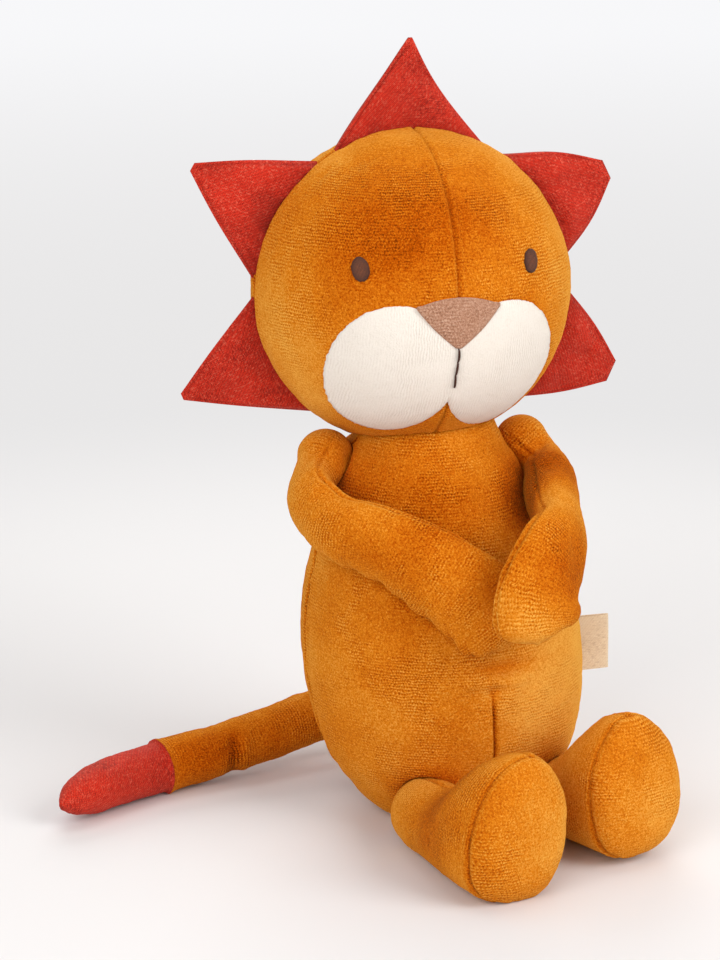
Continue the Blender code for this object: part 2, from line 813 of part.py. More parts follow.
def mane_swell(across, up):
    """Half the hollow inside a mane point, which closes at its sides and its tip."""
    sides = sqrt(max(1 - abs(across) ** MANE_EDGE_SHARE, 0.0))
    tip = max(1 - up, 0.0) ** MANE_TIP_SHARE
    crest = mix(1.0, sin(pi * min(up * MANE_CREST_SHARE, 1.0)), 1 - MANE_FLAT_SHARE)
    return (MANE_THICKNESS / 2 - WOVEN) * sides * tip * crest


def mane_layer(name, point, across_shares, up_shares, near, far, material):
    """A layer of a mane point between two depths, on a grid across and up it."""
    columns = len(across_shares) - 1
    sheets = [
        [
            mane_place(point, across, up, side * mane_swell(across, up) + depth)
            for up in up_shares
            for across in across_shares
        ]
        for side, depth in (near, far)
    ]
    faces = sheet_faces(columns, len(up_shares) - 1)
    count = len(sheets[0])
    rim = [(b, a, count + a, count + b) for a, b in boundary_edges(faces)]
    under = [tuple(count + index for index in face[::-1]) for face in faces]
    points = sheets[0] + sheets[1]
    solid(name, points, outward(points, faces + under + rim), material, NECK)


def sheet_faces(columns, rows):
    """The triangles of a grid of points, cut alike on both sides of its middle."""
    wide = columns + 1
    faces = []
    for row in range(rows):
        for column in range(columns):
            a = row * wide + column
            b, c, d = a + 1, a + wide + 1, a + wide
            if column < columns / 2:
                faces += [(a, b, d), (b, c, d)]
            else:
                faces += [(a, b, c), (a, c, d)]
    return faces


def make_mane(cloth, fibre):
    """Five pointed cushions, each a front and a back cloth over a little filling."""
    seam = SEAM_GAP / 2
    within = MANE_ACROSS_SHARES[1:-1]
    below = MANE_UP_SHARES[:-1]
    for place, side, start, end, tip, reach in MANE_POINT_SHARES:
        point = (side, radians(start), radians(end), radians(tip), MANE_REACH * reach)
        name = f"mane_{place}"
        grid = (MANE_ACROSS_SHARES, MANE_UP_SHARES)
        mane_layer(f"{name}_front", point, *grid, (-1, -seam - WOVEN), (-1, -seam), cloth)
        mane_layer(f"{name}_back", point, *grid, (1, seam), (1, seam + WOVEN), cloth)
        mane_layer(f"{name}_filling", point, within, below, (-1, seam), (1, -seam), fibre)


def arm_half_sizes(wide, thick):
    """Half the width and thickness of an arm, from its profile's shares."""
    return mix(ARM_WIDTH, HAND_WIDTH, wide) / 2, ARM_THICKNESS / 2 * thick


def shoulder_height():
    """The shoulders' height above the floor."""
    return TORSO_HEIGHT * SHOULDER_HEIGHT_SHARE


def shoulder_pivot(side):
    """The middle of a shoulder, which is sunk a little into the side of the torso."""
    return torso_place(side * pi / 2, shoulder_height(), SHOULDER_RADIUS - SHOULDER_SINK)


def arm_path(side, stations):
    """The arm's middle line: clear of the torso, and over the other arm where it is on top."""
    lift = ARM_THICKNESS / 2 + LIMB_GAP
    layer = ARM_THICKNESS + LIMB_GAP
    places = [shoulder_pivot(side)]
    for angle, height, layers in stations[1:]:
        out = lift + layer * layers
        places.append(torso_place(radians(angle), height * TORSO_HEIGHT, out))
    return places


def arm_skin(side, stations):
    """The surface of an arm, from its rounded shoulder to the end of its hand."""
    path = arm_path(side, stations)
    pivot = path[0]
    way = (path[1] - path[0]).normalized()
    face = across_to(torso_direction(side * pi / 2, shoulder_height()), way)
    edge = way.cross(face)
    rings = ball_rings(pivot, way, edge, face, SHOULDER_RADIUS, ARM_ROOT_ANGLES, ARM_COLUMNS)
    for distance, wide, thick in ARM_PROFILE_SHARES:
        rings.append(arm_ring(path, distance, *arm_half_sizes(wide, thick)))
    share, wide, thick = HAND_END_SHARES
    rings.append(arm_ring(path, share, HAND_WIDTH / 2 * wide, ARM_THICKNESS / 2 * thick))
    end, _ = along(path, ARM_LENGTH)
    return Skin(pivot - way * SHOULDER_RADIUS, rings, end), pivot


def arm_ring(path, share, half_width, half_thickness):
    """One oval of the arm, whose flat side faces away from the torso."""
    centre, way = along(path, ARM_LENGTH * share)
    level = Vector((centre.x, centre.y, 0.0)) - Vector((*torso_axis(centre.z).xy, 0.0))
    face = across_to(level.normalized(), way)
    return ring(centre, way.cross(face), face, half_width, half_thickness, ARM_COLUMNS)


def across_to(direction, way):
    """The part of a direction that lies square to a way, as a unit vector."""
    return (direction - way * direction.dot(way)).normalized()


def on_outer_side(row, column):
    """Keeps the half of an arm that faces away from the torso."""
    return column < ARM_COLUMNS // 2


def on_inner_side(row, column):
    """Keeps the half of an arm that faces the torso."""
    return column >= ARM_COLUMNS // 2


def make_arm(name, side, stations, cloth, fibre):
    """An arm: an outer and an inner cover sewn along its edges, and its stuffing."""
    skin, pivot = arm_skin(side, stations)
    sewn_panel(f"arm_{name}_outer", skin, on_outer_side, VELOUR, cloth, pivot)
    sewn_panel(f"arm_{name}_inner", skin, on_inner_side, VELOUR, cloth, pivot)
    stuffing(f"arm_{name}_stuffing", skin, VELOUR, fibre, pivot)
    return pivot


def hip_pivot(angle):
    """The middle of a hip, which is sunk into the front of the seat just above the floor."""
    height = HIP_RADIUS - FLOOR_CUT
    return torso_place(radians(angle), height, HIP_RADIUS - HIP_SINK)


def leg_skin(angle, heading, lift, roll, pressed):
    """The surface of a leg, from its rounded hip to the middle of its sole."""
    pivot = hip_pivot(angle)
    turned = Matrix.Rotation(radians(heading), 3, "Z") @ Matrix.Rotation(radians(-lift), 3, "X")
    way = turned @ Vector((0.0, -1.0, 0.0))
    up = turned @ Vector((0.0, 0.0, 1.0))
    rings = ball_rings(pivot, way, up, up.cross(way), HIP_RADIUS, ROOT_ANGLES, LEG_COLUMNS)
    for share, wide, tall in LEG_PROFILE_SHARES:
        half_height = mix(2 * HIP_RADIUS, FOOT_HEIGHT, tall) / 2
        half_width = mix(LEG_WIDTH, FOOT_WIDTH, wide) / 2
        rings.append(leg_ring(pivot, way, up, share - pressed, half_height, half_width, roll * tall))
    rim = LEG_PROFILE_SHARES[-1][0] - pressed
    for share, dome in SOLE_RING_SHARES:
        reach = rim + SOLE_DOME * dome / LEG_LENGTH
        drawn = leg_ring(pivot, way, up, reach, FOOT_HEIGHT / 2, FOOT_WIDTH / 2, roll)
        centre = sum(drawn, Vector()) / LEG_COLUMNS
        rings.append([centre.lerp(point, share) for point in drawn])
    rings = [[on_floor(point) for point in points] for points in rings]
    flattest = SOLE_RING_SHARES[-1][1]
    end = sum(rings[-1], Vector()) / LEG_COLUMNS + way * SOLE_DOME * (1 - flattest)
    return Skin(pivot - way * HIP_RADIUS, rings, end), pivot


def leg_ring(pivot, way, up, share, half_height, half_width, roll):
    """One oval of the leg, which stands on the same line below as the hip does."""
    tip = radians(roll)
    reach = hypot(half_height * cos(tip), half_width * sin(tip))
    centre = pivot + way * LEG_LENGTH * share + up * (reach - HIP_RADIUS)
    tall = Matrix.Rotation(tip, 3, way) @ up
    return ring(centre, tall, tall.cross(way), half_height, half_width, LEG_COLUMNS)


def on_floor(point):
    """A point, lifted to the floor if it lies below."""
    return Vector((point.x, point.y, max(point.z, 0.0)))


def make_leg(name, angle, heading, lift, roll, pressed, cloth, fibre):
    """A leg: an inner and an outer cover sewn along its top and bottom, a sole and stuffing."""
    skin, pivot = leg_skin(angle, heading, lift, roll, pressed)
    sole_row = len(ROOT_ANGLES) + len(LEG_PROFILE_SHARES)
    half = LEG_COLUMNS // 2
    first, second = ("inner", "outer") if name == "right" else ("outer", "inner")
    panels = (
        (first, lambda row, column: row < sole_row and column < half),
        (second, lambda row, column: row < sole_row and column >= half),
        ("sole", lambda row, column: row >= sole_row),
    )
    for part, keep in panels:
        sewn_panel(f"leg_{name}_{part}", skin, keep, VELOUR, cloth, pivot)
    stuffing(f"leg_{name}_stuffing", skin, VELOUR, fibre, pivot)
    return pivot


def tail_pivot():
    """The middle of the tail's root, sunk into the back of the seat."""
    return torso_place(pi, TAIL_ROOT_HEIGHT, TAIL_ROOT_RADIUS - TAIL_ROOT_SINK)


def tail_path(pivot):
    """The tail's middle line, which comes down to the floor and bends round to the right."""
    rest = TAIL_TIP_WIDTH / 2 - FLOOR_CUT
    places = []
    for across, behind, down in TAIL_PATH_SHARES:
        places.append(Vector((
            pivot.x + across * TAIL_LENGTH,
            pivot.y + behind * TAIL_LENGTH,
            mix(pivot.z, rest, down),
        )))
    return places


def tail_skin():
    """The surface of the tail, from its rounded root to the end of its tip."""
    pivot = tail_pivot()
    path = tail_path(pivot)
    up = Vector((0.0, 0.0, 1.0))
    way = (path[1] - path[0]).normalized()
    face = across_to(up, way)
    rings = ball_rings(
        pivot, way, way.cross(face), face, TAIL_ROOT_RADIUS, ROOT_ANGLES, TAIL_COLUMNS
    )
    for share, wide in TAIL_PROFILE_SHARES:
        rings.append(tail_ring(path, share, mix(TAIL_WIDTH, TAIL_TIP_WIDTH, wide) / 2))
    share, wide = TAIL_END_SHARES
    rings.append(tail_ring(path, share, TAIL_TIP_WIDTH / 2 * wide))
    rings = [[on_floor(point) for point in points] for points in rings]
    end, _ = along(path, TAIL_LENGTH)
    return Skin(pivot - way * TAIL_ROOT_RADIUS, rings, end), pivot


def tail_ring(path, share, radius):
    """One round of the tail."""
    centre, way = along(path, TAIL_LENGTH * share)
    face = across_to(Vector((0.0, 0.0, 1.0)), way)
    return ring(centre, way.cross(face), face, radius, radius, TAIL_COLUMNS)


def make_tail(cloth, tip_cloth, fibre):
    """The tail: a velour sleeve, a woven tip sewn on at the cuff, and stuffing."""
    skin, pivot = tail_skin()
    shares = [share for share, _ in TAIL_PROFILE_SHARES]
    cuff_row = len(ROOT_ANGLES) + shares.index(TAIL_CUFF_SHARE) + 1
    sewn_panel("tail_sleeve", skin, lambda row, column: row < cuff_row, VELOUR, cloth, pivot)
    sewn_panel("tail_tip", skin, lambda row, column: row >= cuff_row, VELOUR, tip_cloth, pivot)
    stuffing("tail_stuffing", skin, VELOUR, fibre, pivot)
    return pivot


def make_lion():
    """Makes every piece of the lion."""
    ochre = cloth_material("ochre_velour", OCHRE, 0.9)
    white = cloth_material("white_velour", CREAM_WHITE, 0.9)
    brown = cloth_material("brown_velour", NOSE_BROWN, 0.9)
    thread = cloth_material("brown_thread", DARK_BROWN, 0.7)
    red = cloth_material("red_woven", BRICK_RED, 0.85)
    ribbon = cloth_material("tag_ribbon", TAG_CREAM, 0.8)
    fibre = cloth_material("fibre_filling", FIBRE_WHITE, 0.95)
    pellet_cloth = cloth_material("pellet_cloth", PELLET_CLOTH, 0.9)
    shoulders = [
        make_arm("right", -1, RIGHT_ARM_PATH_SHARES, ochre, fibre),
        make_arm("left", 1, LEFT_ARM_PATH_SHARES, ochre, fibre),
    ]
    hips = [make_leg(*leg, ochre, fibre) for leg in LEG_SHARES]
    tail = make_tail(ochre, red, fibre)
    front, left, right = "torso_front", "torso_back_left", "torso_back_right"
    sockets = (
        ("right shoulder", shoulders[0], SHOULDER_RADIUS, (front, right)),
        ("left shoulder", shoulders[1], SHOULDER_RADIUS, (front, left)),
        ("right hip", hips[0], HIP_RADIUS, (front,)),
        ("left hip", hips[1], HIP_RADIUS, (front,)),
        ("tail", tail, TAIL_ROOT_RADIUS, (left, right)),
    )
    cutters = []
    for name, pivot, radius, names in sockets:
        cutter = ball_cutter(name + " socket", pivot, radius + FIT_GAP, SOCKET_SEGMENTS)
        cutters.append(((*names, "torso_stuffing"), cutter))
    make_torso(ochre, fibre, pellet_cloth, cutters)
    make_tag(ribbon)
    make_head(ochre, fibre)
    make_face(white, brown, thread, thread)
    make_mane(red, fibre)


clear_scene()
make_lion()
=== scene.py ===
"""The looks of a seated plush lion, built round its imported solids.

Every cover is a cut panel of cloth on the same rings that its solid has, at a finer grain: drawn in
along its seams, puckered beside them and uneven over its stuffing. Lengths are in metres and angles
in degrees, unless a comment says otherwise.
"""

import bpy
import numpy as np
from mathutils import Matrix, Vector
from mathutils.kdtree import KDTree


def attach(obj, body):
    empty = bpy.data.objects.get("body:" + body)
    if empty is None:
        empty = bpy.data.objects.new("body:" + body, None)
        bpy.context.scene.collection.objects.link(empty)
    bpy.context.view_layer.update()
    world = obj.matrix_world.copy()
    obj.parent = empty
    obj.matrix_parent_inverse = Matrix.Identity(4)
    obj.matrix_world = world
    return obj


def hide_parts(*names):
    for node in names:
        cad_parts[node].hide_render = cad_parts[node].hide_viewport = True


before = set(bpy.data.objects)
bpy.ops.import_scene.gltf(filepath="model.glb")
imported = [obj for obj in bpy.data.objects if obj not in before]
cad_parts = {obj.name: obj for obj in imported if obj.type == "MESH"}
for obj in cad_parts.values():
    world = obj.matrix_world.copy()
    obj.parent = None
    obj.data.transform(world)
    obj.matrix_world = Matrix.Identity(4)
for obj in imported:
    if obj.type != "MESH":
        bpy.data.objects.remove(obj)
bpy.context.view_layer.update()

MM = 0.001
TURN = 2 * np.pi
X, Y, Z = np.eye(3)

# Torso, as in the solids: each ring's height and width as shares of the whole
TORSO_HEIGHT = 0.124
BELLY_WIDTH = 0.0976
SEAT_RADIUS = 0.0235
TORSO_DEPTH_SHARE = 0.88
LEAN_BACK = 0.010
LEAN_SIDE = -0.0085
TORSO_RINGS = (
    (0.03, 0.61), (0.10, 0.755), (0.20, 0.895), (0.33, 0.98), (0.48, 1.0),
    (0.62, 0.95), (0.76, 0.845), (0.89, 0.715), (1.0, 0.625), (1.035, 0.565),
)
NECK_RADIUS = 0.0275
NECK_SINK = 0.002
NECK_RING_SHARES = (0.03, 0.36, 0.68)
DART_ANGLE = np.radians(3)
DART_LOW = 0.004
DART_HIGH = 0.057
# The soft folds where the dart ends, in millimetres: across, up, how wide, how tall, how far out; where
# they dip in they get painted shade
DART_PUCKER = (
    (5.0, 5.0, 11.0, 2.4, -2.6),
    (3.0, 1.0, 9.0, 2.0, 1.5),
    (-8.0, 1.5, 4.0, 3.0, 1.2),
    (1.0, -2.5, 2.0, 2.5, -1.2),
    (8.0, -3.0, 3.5, 5.0, 0.8),
)
PUCKER_SHADE = 0.12
FRONT_REACH = 0.06

# Head and face
HEAD_WIDTH = 0.1088
HEAD_HEIGHT = 0.106
HEAD_FRONT = 0.050
HEAD_BACK = 0.047
HEAD_RISE = 0.058
EYE_WIDTH = 0.00506
EYE_HEIGHT = 0.007544
EYE_SPREAD = 0.0285
EYE_RISE = 0.0141
EYE_SHIFT = -0.0012
LOBE_WIDTH = 0.0404
LOBE_HEIGHT = 0.0455
LOBE_SPREAD = 0.0181
LOBE_DROP = 0.0198
LOBE_TILT = np.radians(10)
MUZZLE_SHIFT = -0.0006
MUZZLE_EDGE = 1.2 * MM
MUZZLE_SINK = 0.7 * MM
NOSE_WIDTH = 0.0300
NOSE_TOP = 0.0029
NOSE_BOTTOM = -0.0122
NOSE_MIDDLE = -0.0025
NOSE_CORNER = 0.0030
NOSE_BOWS = (0.5 * MM, 0.5 * MM, 2.3 * MM)
MOUTH_BOTTOM = -0.0250
MOUTH_STITCHES = 3
MOUTH_THREAD = 0.42 * MM

# Mane
MANE_REACH = 0.032
MANE_THICKNESS = 0.010
MANE_SETBACK = 0.002
MANE_SEAM = 1.2 * MM
MANE_LIP = 0.12 * MM
# Which side, where the seam starts and ends, where the tip points, and its share of the reach
MANE_POINTS = (
    ("top", 1, -31.5, 31.5, 0, 0.90),
    ("upper_right", -1, 34, 87, 60, 1.0),
    ("lower_right", -1, 89.5, 144, 113, 1.0),
    ("upper_left", 1, 34, 87, 63, 0.80),
    ("lower_left", 1, 89.5, 144, 115, 0.88),
)
# How blunt each tip is, how far its edges bow out, and how far its middle leans over
MANE_TIPS = {
    "top": (0.0014, -0.0011, -0.0014),
    "upper_right": (0.0030, 0.0008, 0.0),
    "lower_right": (0.0024, 0.0004, 0.0),
    "upper_left": (0.0070, 0.0022, 0.0),
    "lower_left": (0.0078, 0.0014, 0.0),
}

# Arms
ARM_LENGTH = 0.107
ARM_WIDTH = 0.0215
ARM_THICKNESS = 0.0155
HAND_WIDTH = 0.0300
SHOULDER_RADIUS = 0.0095
SHOULDER_SINK = 0.0035
SHOULDER_HEIGHT = 0.126
SHOULDER_RINGS = (32, 62, 90, 125)
LIMB_GAP = 0.0006
# Angles round the torso, shares of its height, and how many arms' thicknesses further out
ARM_PATHS = {
    "right": (
        (-79, 0.95, 0.27), (-68, 0.907, 0.27), (-56, 0.877, 0.21), (-45, 0.862, 0.12),
        (-28, 0.824, 0.06), (-12, 0.765, 0.05), (-1.5, 0.702, 0.04), (5.7, 0.627, 0.04),
        (10.5, 0.565, 0.04), (14, 0.50, 0.04),
    ),
    "left": (
        (82, 0.965, 0.10), (70, 0.935, 0.14), (57, 0.915, 0.22), (44, 0.895, 0.42),
        (32, 0.87, 0.78), (23.5, 0.84, 1.08), (15.5, 0.80, 1.22), (11.2, 0.74, 1.20),
        (9.8, 0.675, 1.12), (10.2, 0.60, 1.06),
    ),
}
# How far along each ring is, how much of the hand's extra width it has, and how thick it is
ARM_PROFILE = (
    (0.17, 0.0, 0.92), (0.26, 0.05, 0.98), (0.35, 0.12, 1.0), (0.44, 0.22, 1.0),
    (0.53, 0.38, 1.0), (0.63, 0.74, 1.0), (0.75, 0.98, 0.98),
)
HAND_PROFILE = {
    "right": ((0.86, 1.0, 0.92), (0.945, 0.70, 0.76)),
    "left": ((0.86, 0.90, 0.94), (0.945, 0.46, 0.80)),
}
# Each hand's last ring has its own width and thickness
HAND_END = {"right": (0.987, 0.42, 0.42), "left": (0.987, 0.30, 0.46)}
HAND_SHARE = {"right": 1.0, "left": 0.965}
ARM_TWIST = {"right": 0.0, "left": np.radians(-42)}
LEFT_HAND_SWELL = 0.10
LEFT_TOP_SWELL = 0.22
LEFT_TOP_BULGE = 0.0026
LEFT_HIDDEN_FACE = np.array([0.0245, -0.0150, 0.1180])
# The lower edge is drawn up between its stitches
SCALLOP_PITCH = 10 * MM
SCALLOP_DEPTH = {"right": 1.7 * MM, "left": 0.8 * MM}
SCALLOP_REACH = 3.5 * MM
# Soft dents: where, how wide, how deep
ARM_DENTS = {
    "right": (
        ((-0.0365, 0.0020, 0.1270), 0.0040, 0.0022),
        ((-0.0330, -0.0060, 0.1200), 0.0035, 0.0015),
        ((-0.0530, -0.0030, 0.1200), 0.0050, 0.0010),
    ),
    "left": (
        ((0.0270, -0.0020, 0.1290), 0.0045, 0.0020),
        ((0.0250, -0.0200, 0.1250), 0.0040, 0.0012),
        ((0.0200, -0.0550, 0.1050), 0.0050, 0.0010),
    ),
}

# Legs
LEG_LENGTH = 0.0540
LEG_WIDTH = 0.0245
HIP_RADIUS = 0.0122
HIP_SINK = 0.0050
ROOT_RINGS = (32, 62, 90)
FOOT_WIDTH = 0.0370
FOOT_HEIGHT = 0.0490
SOLE_DOME = 0.0080
HEEL = 0.07
HEEL_POWER = 2.5
FLOOR_CUT = 0.0005
# The hip's angle, heading, lift, roll, and how much of the thigh is pressed into the torso
LEGS = (("right", -29, 16, 0, -11, 0.0), ("left", 42, 18, 4, 4, 0.23))
# How far along each ring is, and how much it has of the foot's extra width and height
LEG_PROFILE = (
    (0.27, 0.45, 0.06), (0.45, 0.88, 0.26), (0.62, 1.14, 0.66), (0.79, 1.18, 0.93), (0.95, 1.0, 0.98),
)
# The rings of the sole: their size, and how far out on its dome
SOLE_RINGS = ((0.93, 0.36), (0.72, 0.78), (0.38, 0.97))

# Tail
TAIL_LENGTH = 0.153
TAIL_WIDTH = 0.0184
TAIL_TIP_WIDTH = 0.0194
TAIL_ROOT_RADIUS = 0.0080
TAIL_ROOT_SINK = 0.0035
TAIL_ROOT_HEIGHT = 0.0215
# Shares of the length sideways and back, and of the drop to the floor
TAIL_PATH = (
    (0.0, 0.0, 0.0), (-0.065, 0.085, 0.10), (-0.21, 0.085, 0.38), (-0.41, 0.035, 0.74),
    (-0.62, -0.013, 1.0), (-0.75, -0.08, 1.0), (-0.85, -0.153, 1.0), (-0.93, -0.22, 1.0),
    (-0.98, -0.28, 1.0),
)
# How far along each ring is, and how much it has of the tip's extra width
TAIL_PROFILE = (
    (0.13, 0.0), (0.26, 0.0), (0.40, 0.1), (0.54, 0.2), (0.68, 0.5), (0.80, 1.0), (0.90, -1.7),
)
TAIL_END = (0.97, 0.47)
CUFF_RING = 8
CUFF_HEM = 0.35 * MM
CUFF_STEP = 0.75 * MM
TAIL_FOLD = 0.068

# Tag
TAG_HEIGHT = 0.0195
TAG_REACH = 0.0132
TAG_SEAM = 1.5 * MM
TAG_MIDDLE = 0.053
TAG_HALF_GAP = 0.42 * MM
TAG_WAVE = 0.25 * MM

# Seams, in millimetres: how deep and wide the groove is, how far the cloth swells beside it, how
# strong, how long and how far out its puckers are, and how wide and how dark the painted shade in its
# crease is
PLAIN_SEAM = dict(swell=0.25, pitch=4.2, reach=3.5)
SEAMS = {
    "torso": dict(depth=1.0, width=0.7, pucker=0.5, crease=0.6, dark=0.50),
    "dart": dict(depth=1.1, width=0.6, swell=0.35, pucker=0.5, crease=0.55, dark=0.75),
    "face": dict(depth=0.75, width=0.65, swell=0.35, pucker=0.16, pitch=3.0, crease=0.6, dark=0.14),
    "mane": dict(depth=0.8, width=0.9, pucker=0.4, crease=1.2, dark=0.5),
    "arm": dict(depth=0.75, width=0.7, pucker=0.6, pitch=4.5, reach=3.0, crease=0.7, dark=0.16),
    "leg": dict(depth=0.7, width=0.8, pucker=0.4, crease=0.9, dark=0.3),
    "sole": dict(depth=0.8, width=0.8, pucker=0.5, pitch=3.6, crease=0.7, dark=0.42),
    "tail": dict(depth=0.6, width=0.8, pucker=0.5, crease=0.9, dark=0.3),
}

# Fineness of the meshes
TORSO_GRAIN = 1.0 * MM
LIMB_GRAIN = 0.7 * MM
TORSO_COLUMNS = 312
ARM_COLUMNS = 96
LEG_COLUMNS = 144
TAIL_COLUMNS = 96
HEAD_COLUMNS, HEAD_ROWS = 360, 181
MANE_COLUMNS, MANE_ROWS = 76, 60
TAG_COLUMNS, TAG_ROWS = 22, 34
LIP = 1.2 * MM

# How pale the pile shows, partly how it stands and partly painted light: at the front, more to the edges
# as a painted sheen, more to the left as painted light on the side facing the key light, and in broad
# patches
FRONT_LEAN = 0.36
EDGE_SHEEN, EDGE_POWER = 0.34, 1.5
LEFT_SIDE_LIGHT = 0.12
LEAN_PATCHES = ((0.16, 26 * MM, 401), (0.09, 11 * MM, 402))
# Spots where the pile shows paler (more than 0) or darker, partly raised or stroked flat and partly
# painted light and shade, such as darker on the tail that lies in shade and paler on the soles that face
# the key light: the middle, how wide, how much
PILE_AND_LIGHT_SPOTS = (
    ((-0.034, -0.028, 0.208), 0.032, -0.52), ((0.012, -0.035, 0.208), 0.026, -0.16),
    ((-0.016, -0.036, 0.116), 0.020, -0.35), ((-0.026, -0.062, 0.022), 0.022, -0.35),
    ((0.022, -0.058, 0.098), 0.022, -0.50), ((-0.070, 0.040, 0.010), 0.050, -0.25),
    ((-0.040, 0.0, 0.112), 0.014, -0.25), ((0.023, -0.016, 0.117), 0.013, -0.90),
    ((-0.014, -0.066, 0.038), 0.018, -0.30), ((0.034, -0.052, 0.026), 0.016, -0.30),
    ((-0.010, -0.056, 0.186), 0.030, 0.24), ((0.040, -0.020, 0.050), 0.034, 0.40),
    ((0.0, -0.050, 0.048), 0.034, 0.20), ((-0.040, -0.010, 0.050), 0.026, 0.15),
    ((0.008, -0.068, 0.082), 0.013, 0.25), ((0.000, -0.094, 0.026), 0.020, 0.28),
    ((0.046, -0.084, 0.026), 0.020, 0.28), ((0.036, 0.0, 0.180), 0.030, 0.25),
    ((-0.060, 0.0, 0.165), 0.030, 0.35), ((-0.022, -0.060, 0.102), 0.016, 0.30),
    ((0.0, -0.066, 0.090), 0.014, 0.20),
)

# Stage, light and camera
FLOOR_RADIUS = 12.0
FLOOR_SINK = 0.2 * MM
FLOOR_COLOUR = (0.765, 0.75, 0.744, 1)
# How far out the lit floor gives way to a plain white, which itself changes with distance
FLOOR_FADE = (0.30, 0.62)
WHITE_FADE = (0.6, 3.0)
NEAR_WHITE = (0.81, 0.80, 0.80, 1)
FAR_WHITE = (0.935, 0.935, 0.95, 1)
WORLD_LIGHT = 0.33
WORLD_WHITE = 0.94
# Each lamp's place, the height it points at, its size and its power
LAMPS = {
    "key light": ((0.70, -0.85, 0.75), 0.10, (0.8, 0.8), 10.8),
    "fill light": ((-0.85, -0.85, 0.68), 0.09, (0.9, 0.9), 10.3),
    "top light": ((0.0, 0.1, 1.3), 0.10, (1.0, 0.8), 4.0),
    "back light": ((0.25, 1.15, 0.75), 0.12, (1.0, 0.8), 8.0),
}
CAMERA_PLACE = (-0.28692, -0.82471, 0.35088)
CAMERA_TARGET = (-0.032752, 0.006635, 0.117943)
CAMERA_LENS = 100
SENSOR_WIDTH = 36


def unit(a):
    return a / np.maximum(np.linalg.norm(a, axis=-1, keepdims=True), 1e-12)


def mix(a, b, share):
    return a + (b - a) * share


def smooth_step(low, high, x):
    t = np.clip((x - low) / (high - low), 0, 1)
    return t * t * (3 - 2 * t)


def bell(x, width):
    return np.exp(-((x / width) ** 2))


def fading(x, reach):
    return np.exp(-np.abs(x) / reach)


def lattice(points, size, seed):
    """Smooth even noise from -1 to 1, about one bump per size."""
    p = np.asarray(points, float).reshape(-1, 3) / size + seed * 17.31
    cell = np.floor(p).astype(np.int64)
    f = p - cell
    f = f * f * (3 - 2 * f)
    total = np.zeros(len(p))
    for corner in range(8):
        step = np.array([corner & 1, corner >> 1 & 1, corner >> 2 & 1])
        k = cell + step
        h = (k[:, 0] * 73856093) ^ (k[:, 1] * 19349663) ^ (k[:, 2] * 83492791) ^ (seed * 40503)
        h = (h ^ (h >> 13)) * 1274126177 & 0x7FFFFFFF
        h = (h ^ (h >> 11)) * 668265263 & 0x7FFFFFFF
        total += (h / 0x3FFFFFFF - 1) * np.prod(np.where(step, f, 1 - f), axis=1)
    return total.reshape(np.shape(points)[:-1])


def line_noise(x, size, seed):
    return lattice(np.stack([x, np.zeros_like(x), np.zeros_like(x)], -1), size, seed)


# ---- the rings of the forms, as in the solids


def curve_through(points, share):
    spans = len(points) - 1
    start = min(int(share * spans), spans - 1)
    t = share * spans - start
    before = points[start - 1] if start > 0 else points[0] * 2 - points[1]
    after = points[start + 2] if start + 2 <= spans else points[spans] * 2 - points[spans - 1]
    near, far = points[start], points[start + 1]
    return (
        near * 2
        + (far - before) * t
        + (before * 2 - near * 5 + far * 4 - after) * t**2
        + (near * 3 - before - far * 3 + after) * t**3
    ) / 2


def along(points, distance):
    """The place at a distance along a curve, and which way the curve runs there."""
    steps = 24 * len(points)
    here = points[0]
    for number in range(1, steps + 1):
        there = curve_through(points, number / steps)
        length = np.linalg.norm(there - here)
        if distance <= length or number == steps:
            way = unit(there - here)
            return here + way * distance, way
        distance -= length
        here = there


def oval(centre, side, face, half_width, half_thickness, twist=0.0):
    turn = TURN * np.arange(16)[:, None] / 16 + twist
    return centre + side * half_width * np.cos(turn) + face * half_thickness * np.sin(turn)


def root_rings(pivot, way, side, face, radius, angles, twist=0.0):
    """Rings round the ball that a limb turns on, from its hidden pole outwards."""
    rings = []
    for angle in np.radians(angles):
        reach = radius * np.sin(angle)
        rings.append(oval(pivot - way * radius * np.cos(angle), side, face, reach, reach, twist))
    return rings


def resized(ring, share):
    middle = ring.mean(0)
    return middle + (ring - middle) * share


def across_to(direction, way):
    return unit(direction - way * direction.dot(way))


def torso_axis(height):
    share = height / TORSO_HEIGHT
    return np.array([LEAN_SIDE * share, LEAN_BACK * share, height])


NECK = torso_axis(TORSO_HEIGHT - NECK_SINK)
HEAD_CENTRE = torso_axis(TORSO_HEIGHT + HEAD_RISE)
STATIONS = [(0.0, SEAT_RADIUS)] + [(s * TORSO_HEIGHT, w * BELLY_WIDTH / 2) for s, w in TORSO_RINGS]


def torso_size(height):
    """Half the torso's width and depth at a height."""
    wide = np.interp(height, *zip(*STATIONS))
    share = min(height / TORSO_HEIGHT, 1.0)
    return wide, wide * mix(TORSO_DEPTH_SHARE, 1.0, share**2)


def torso_direction(angle, height):
    wide, deep = torso_size(height)
    return unit(np.array([np.sin(angle) * deep, -np.cos(angle) * wide, 0.0]))


def torso_place(angle, height, out):
    wide, deep = torso_size(height)
    surface = torso_axis(height) + np.array([wide * np.sin(angle), -deep * np.cos(angle), 0.0])
    return surface + torso_direction(angle, height) * out


def shoulder_pivot(side):
    return torso_place(side * np.pi / 2, SHOULDER_HEIGHT, SHOULDER_RADIUS - SHOULDER_SINK)


def hip_pivot(angle):
    return torso_place(np.radians(angle), HIP_RADIUS - FLOOR_CUT, HIP_RADIUS - HIP_SINK)


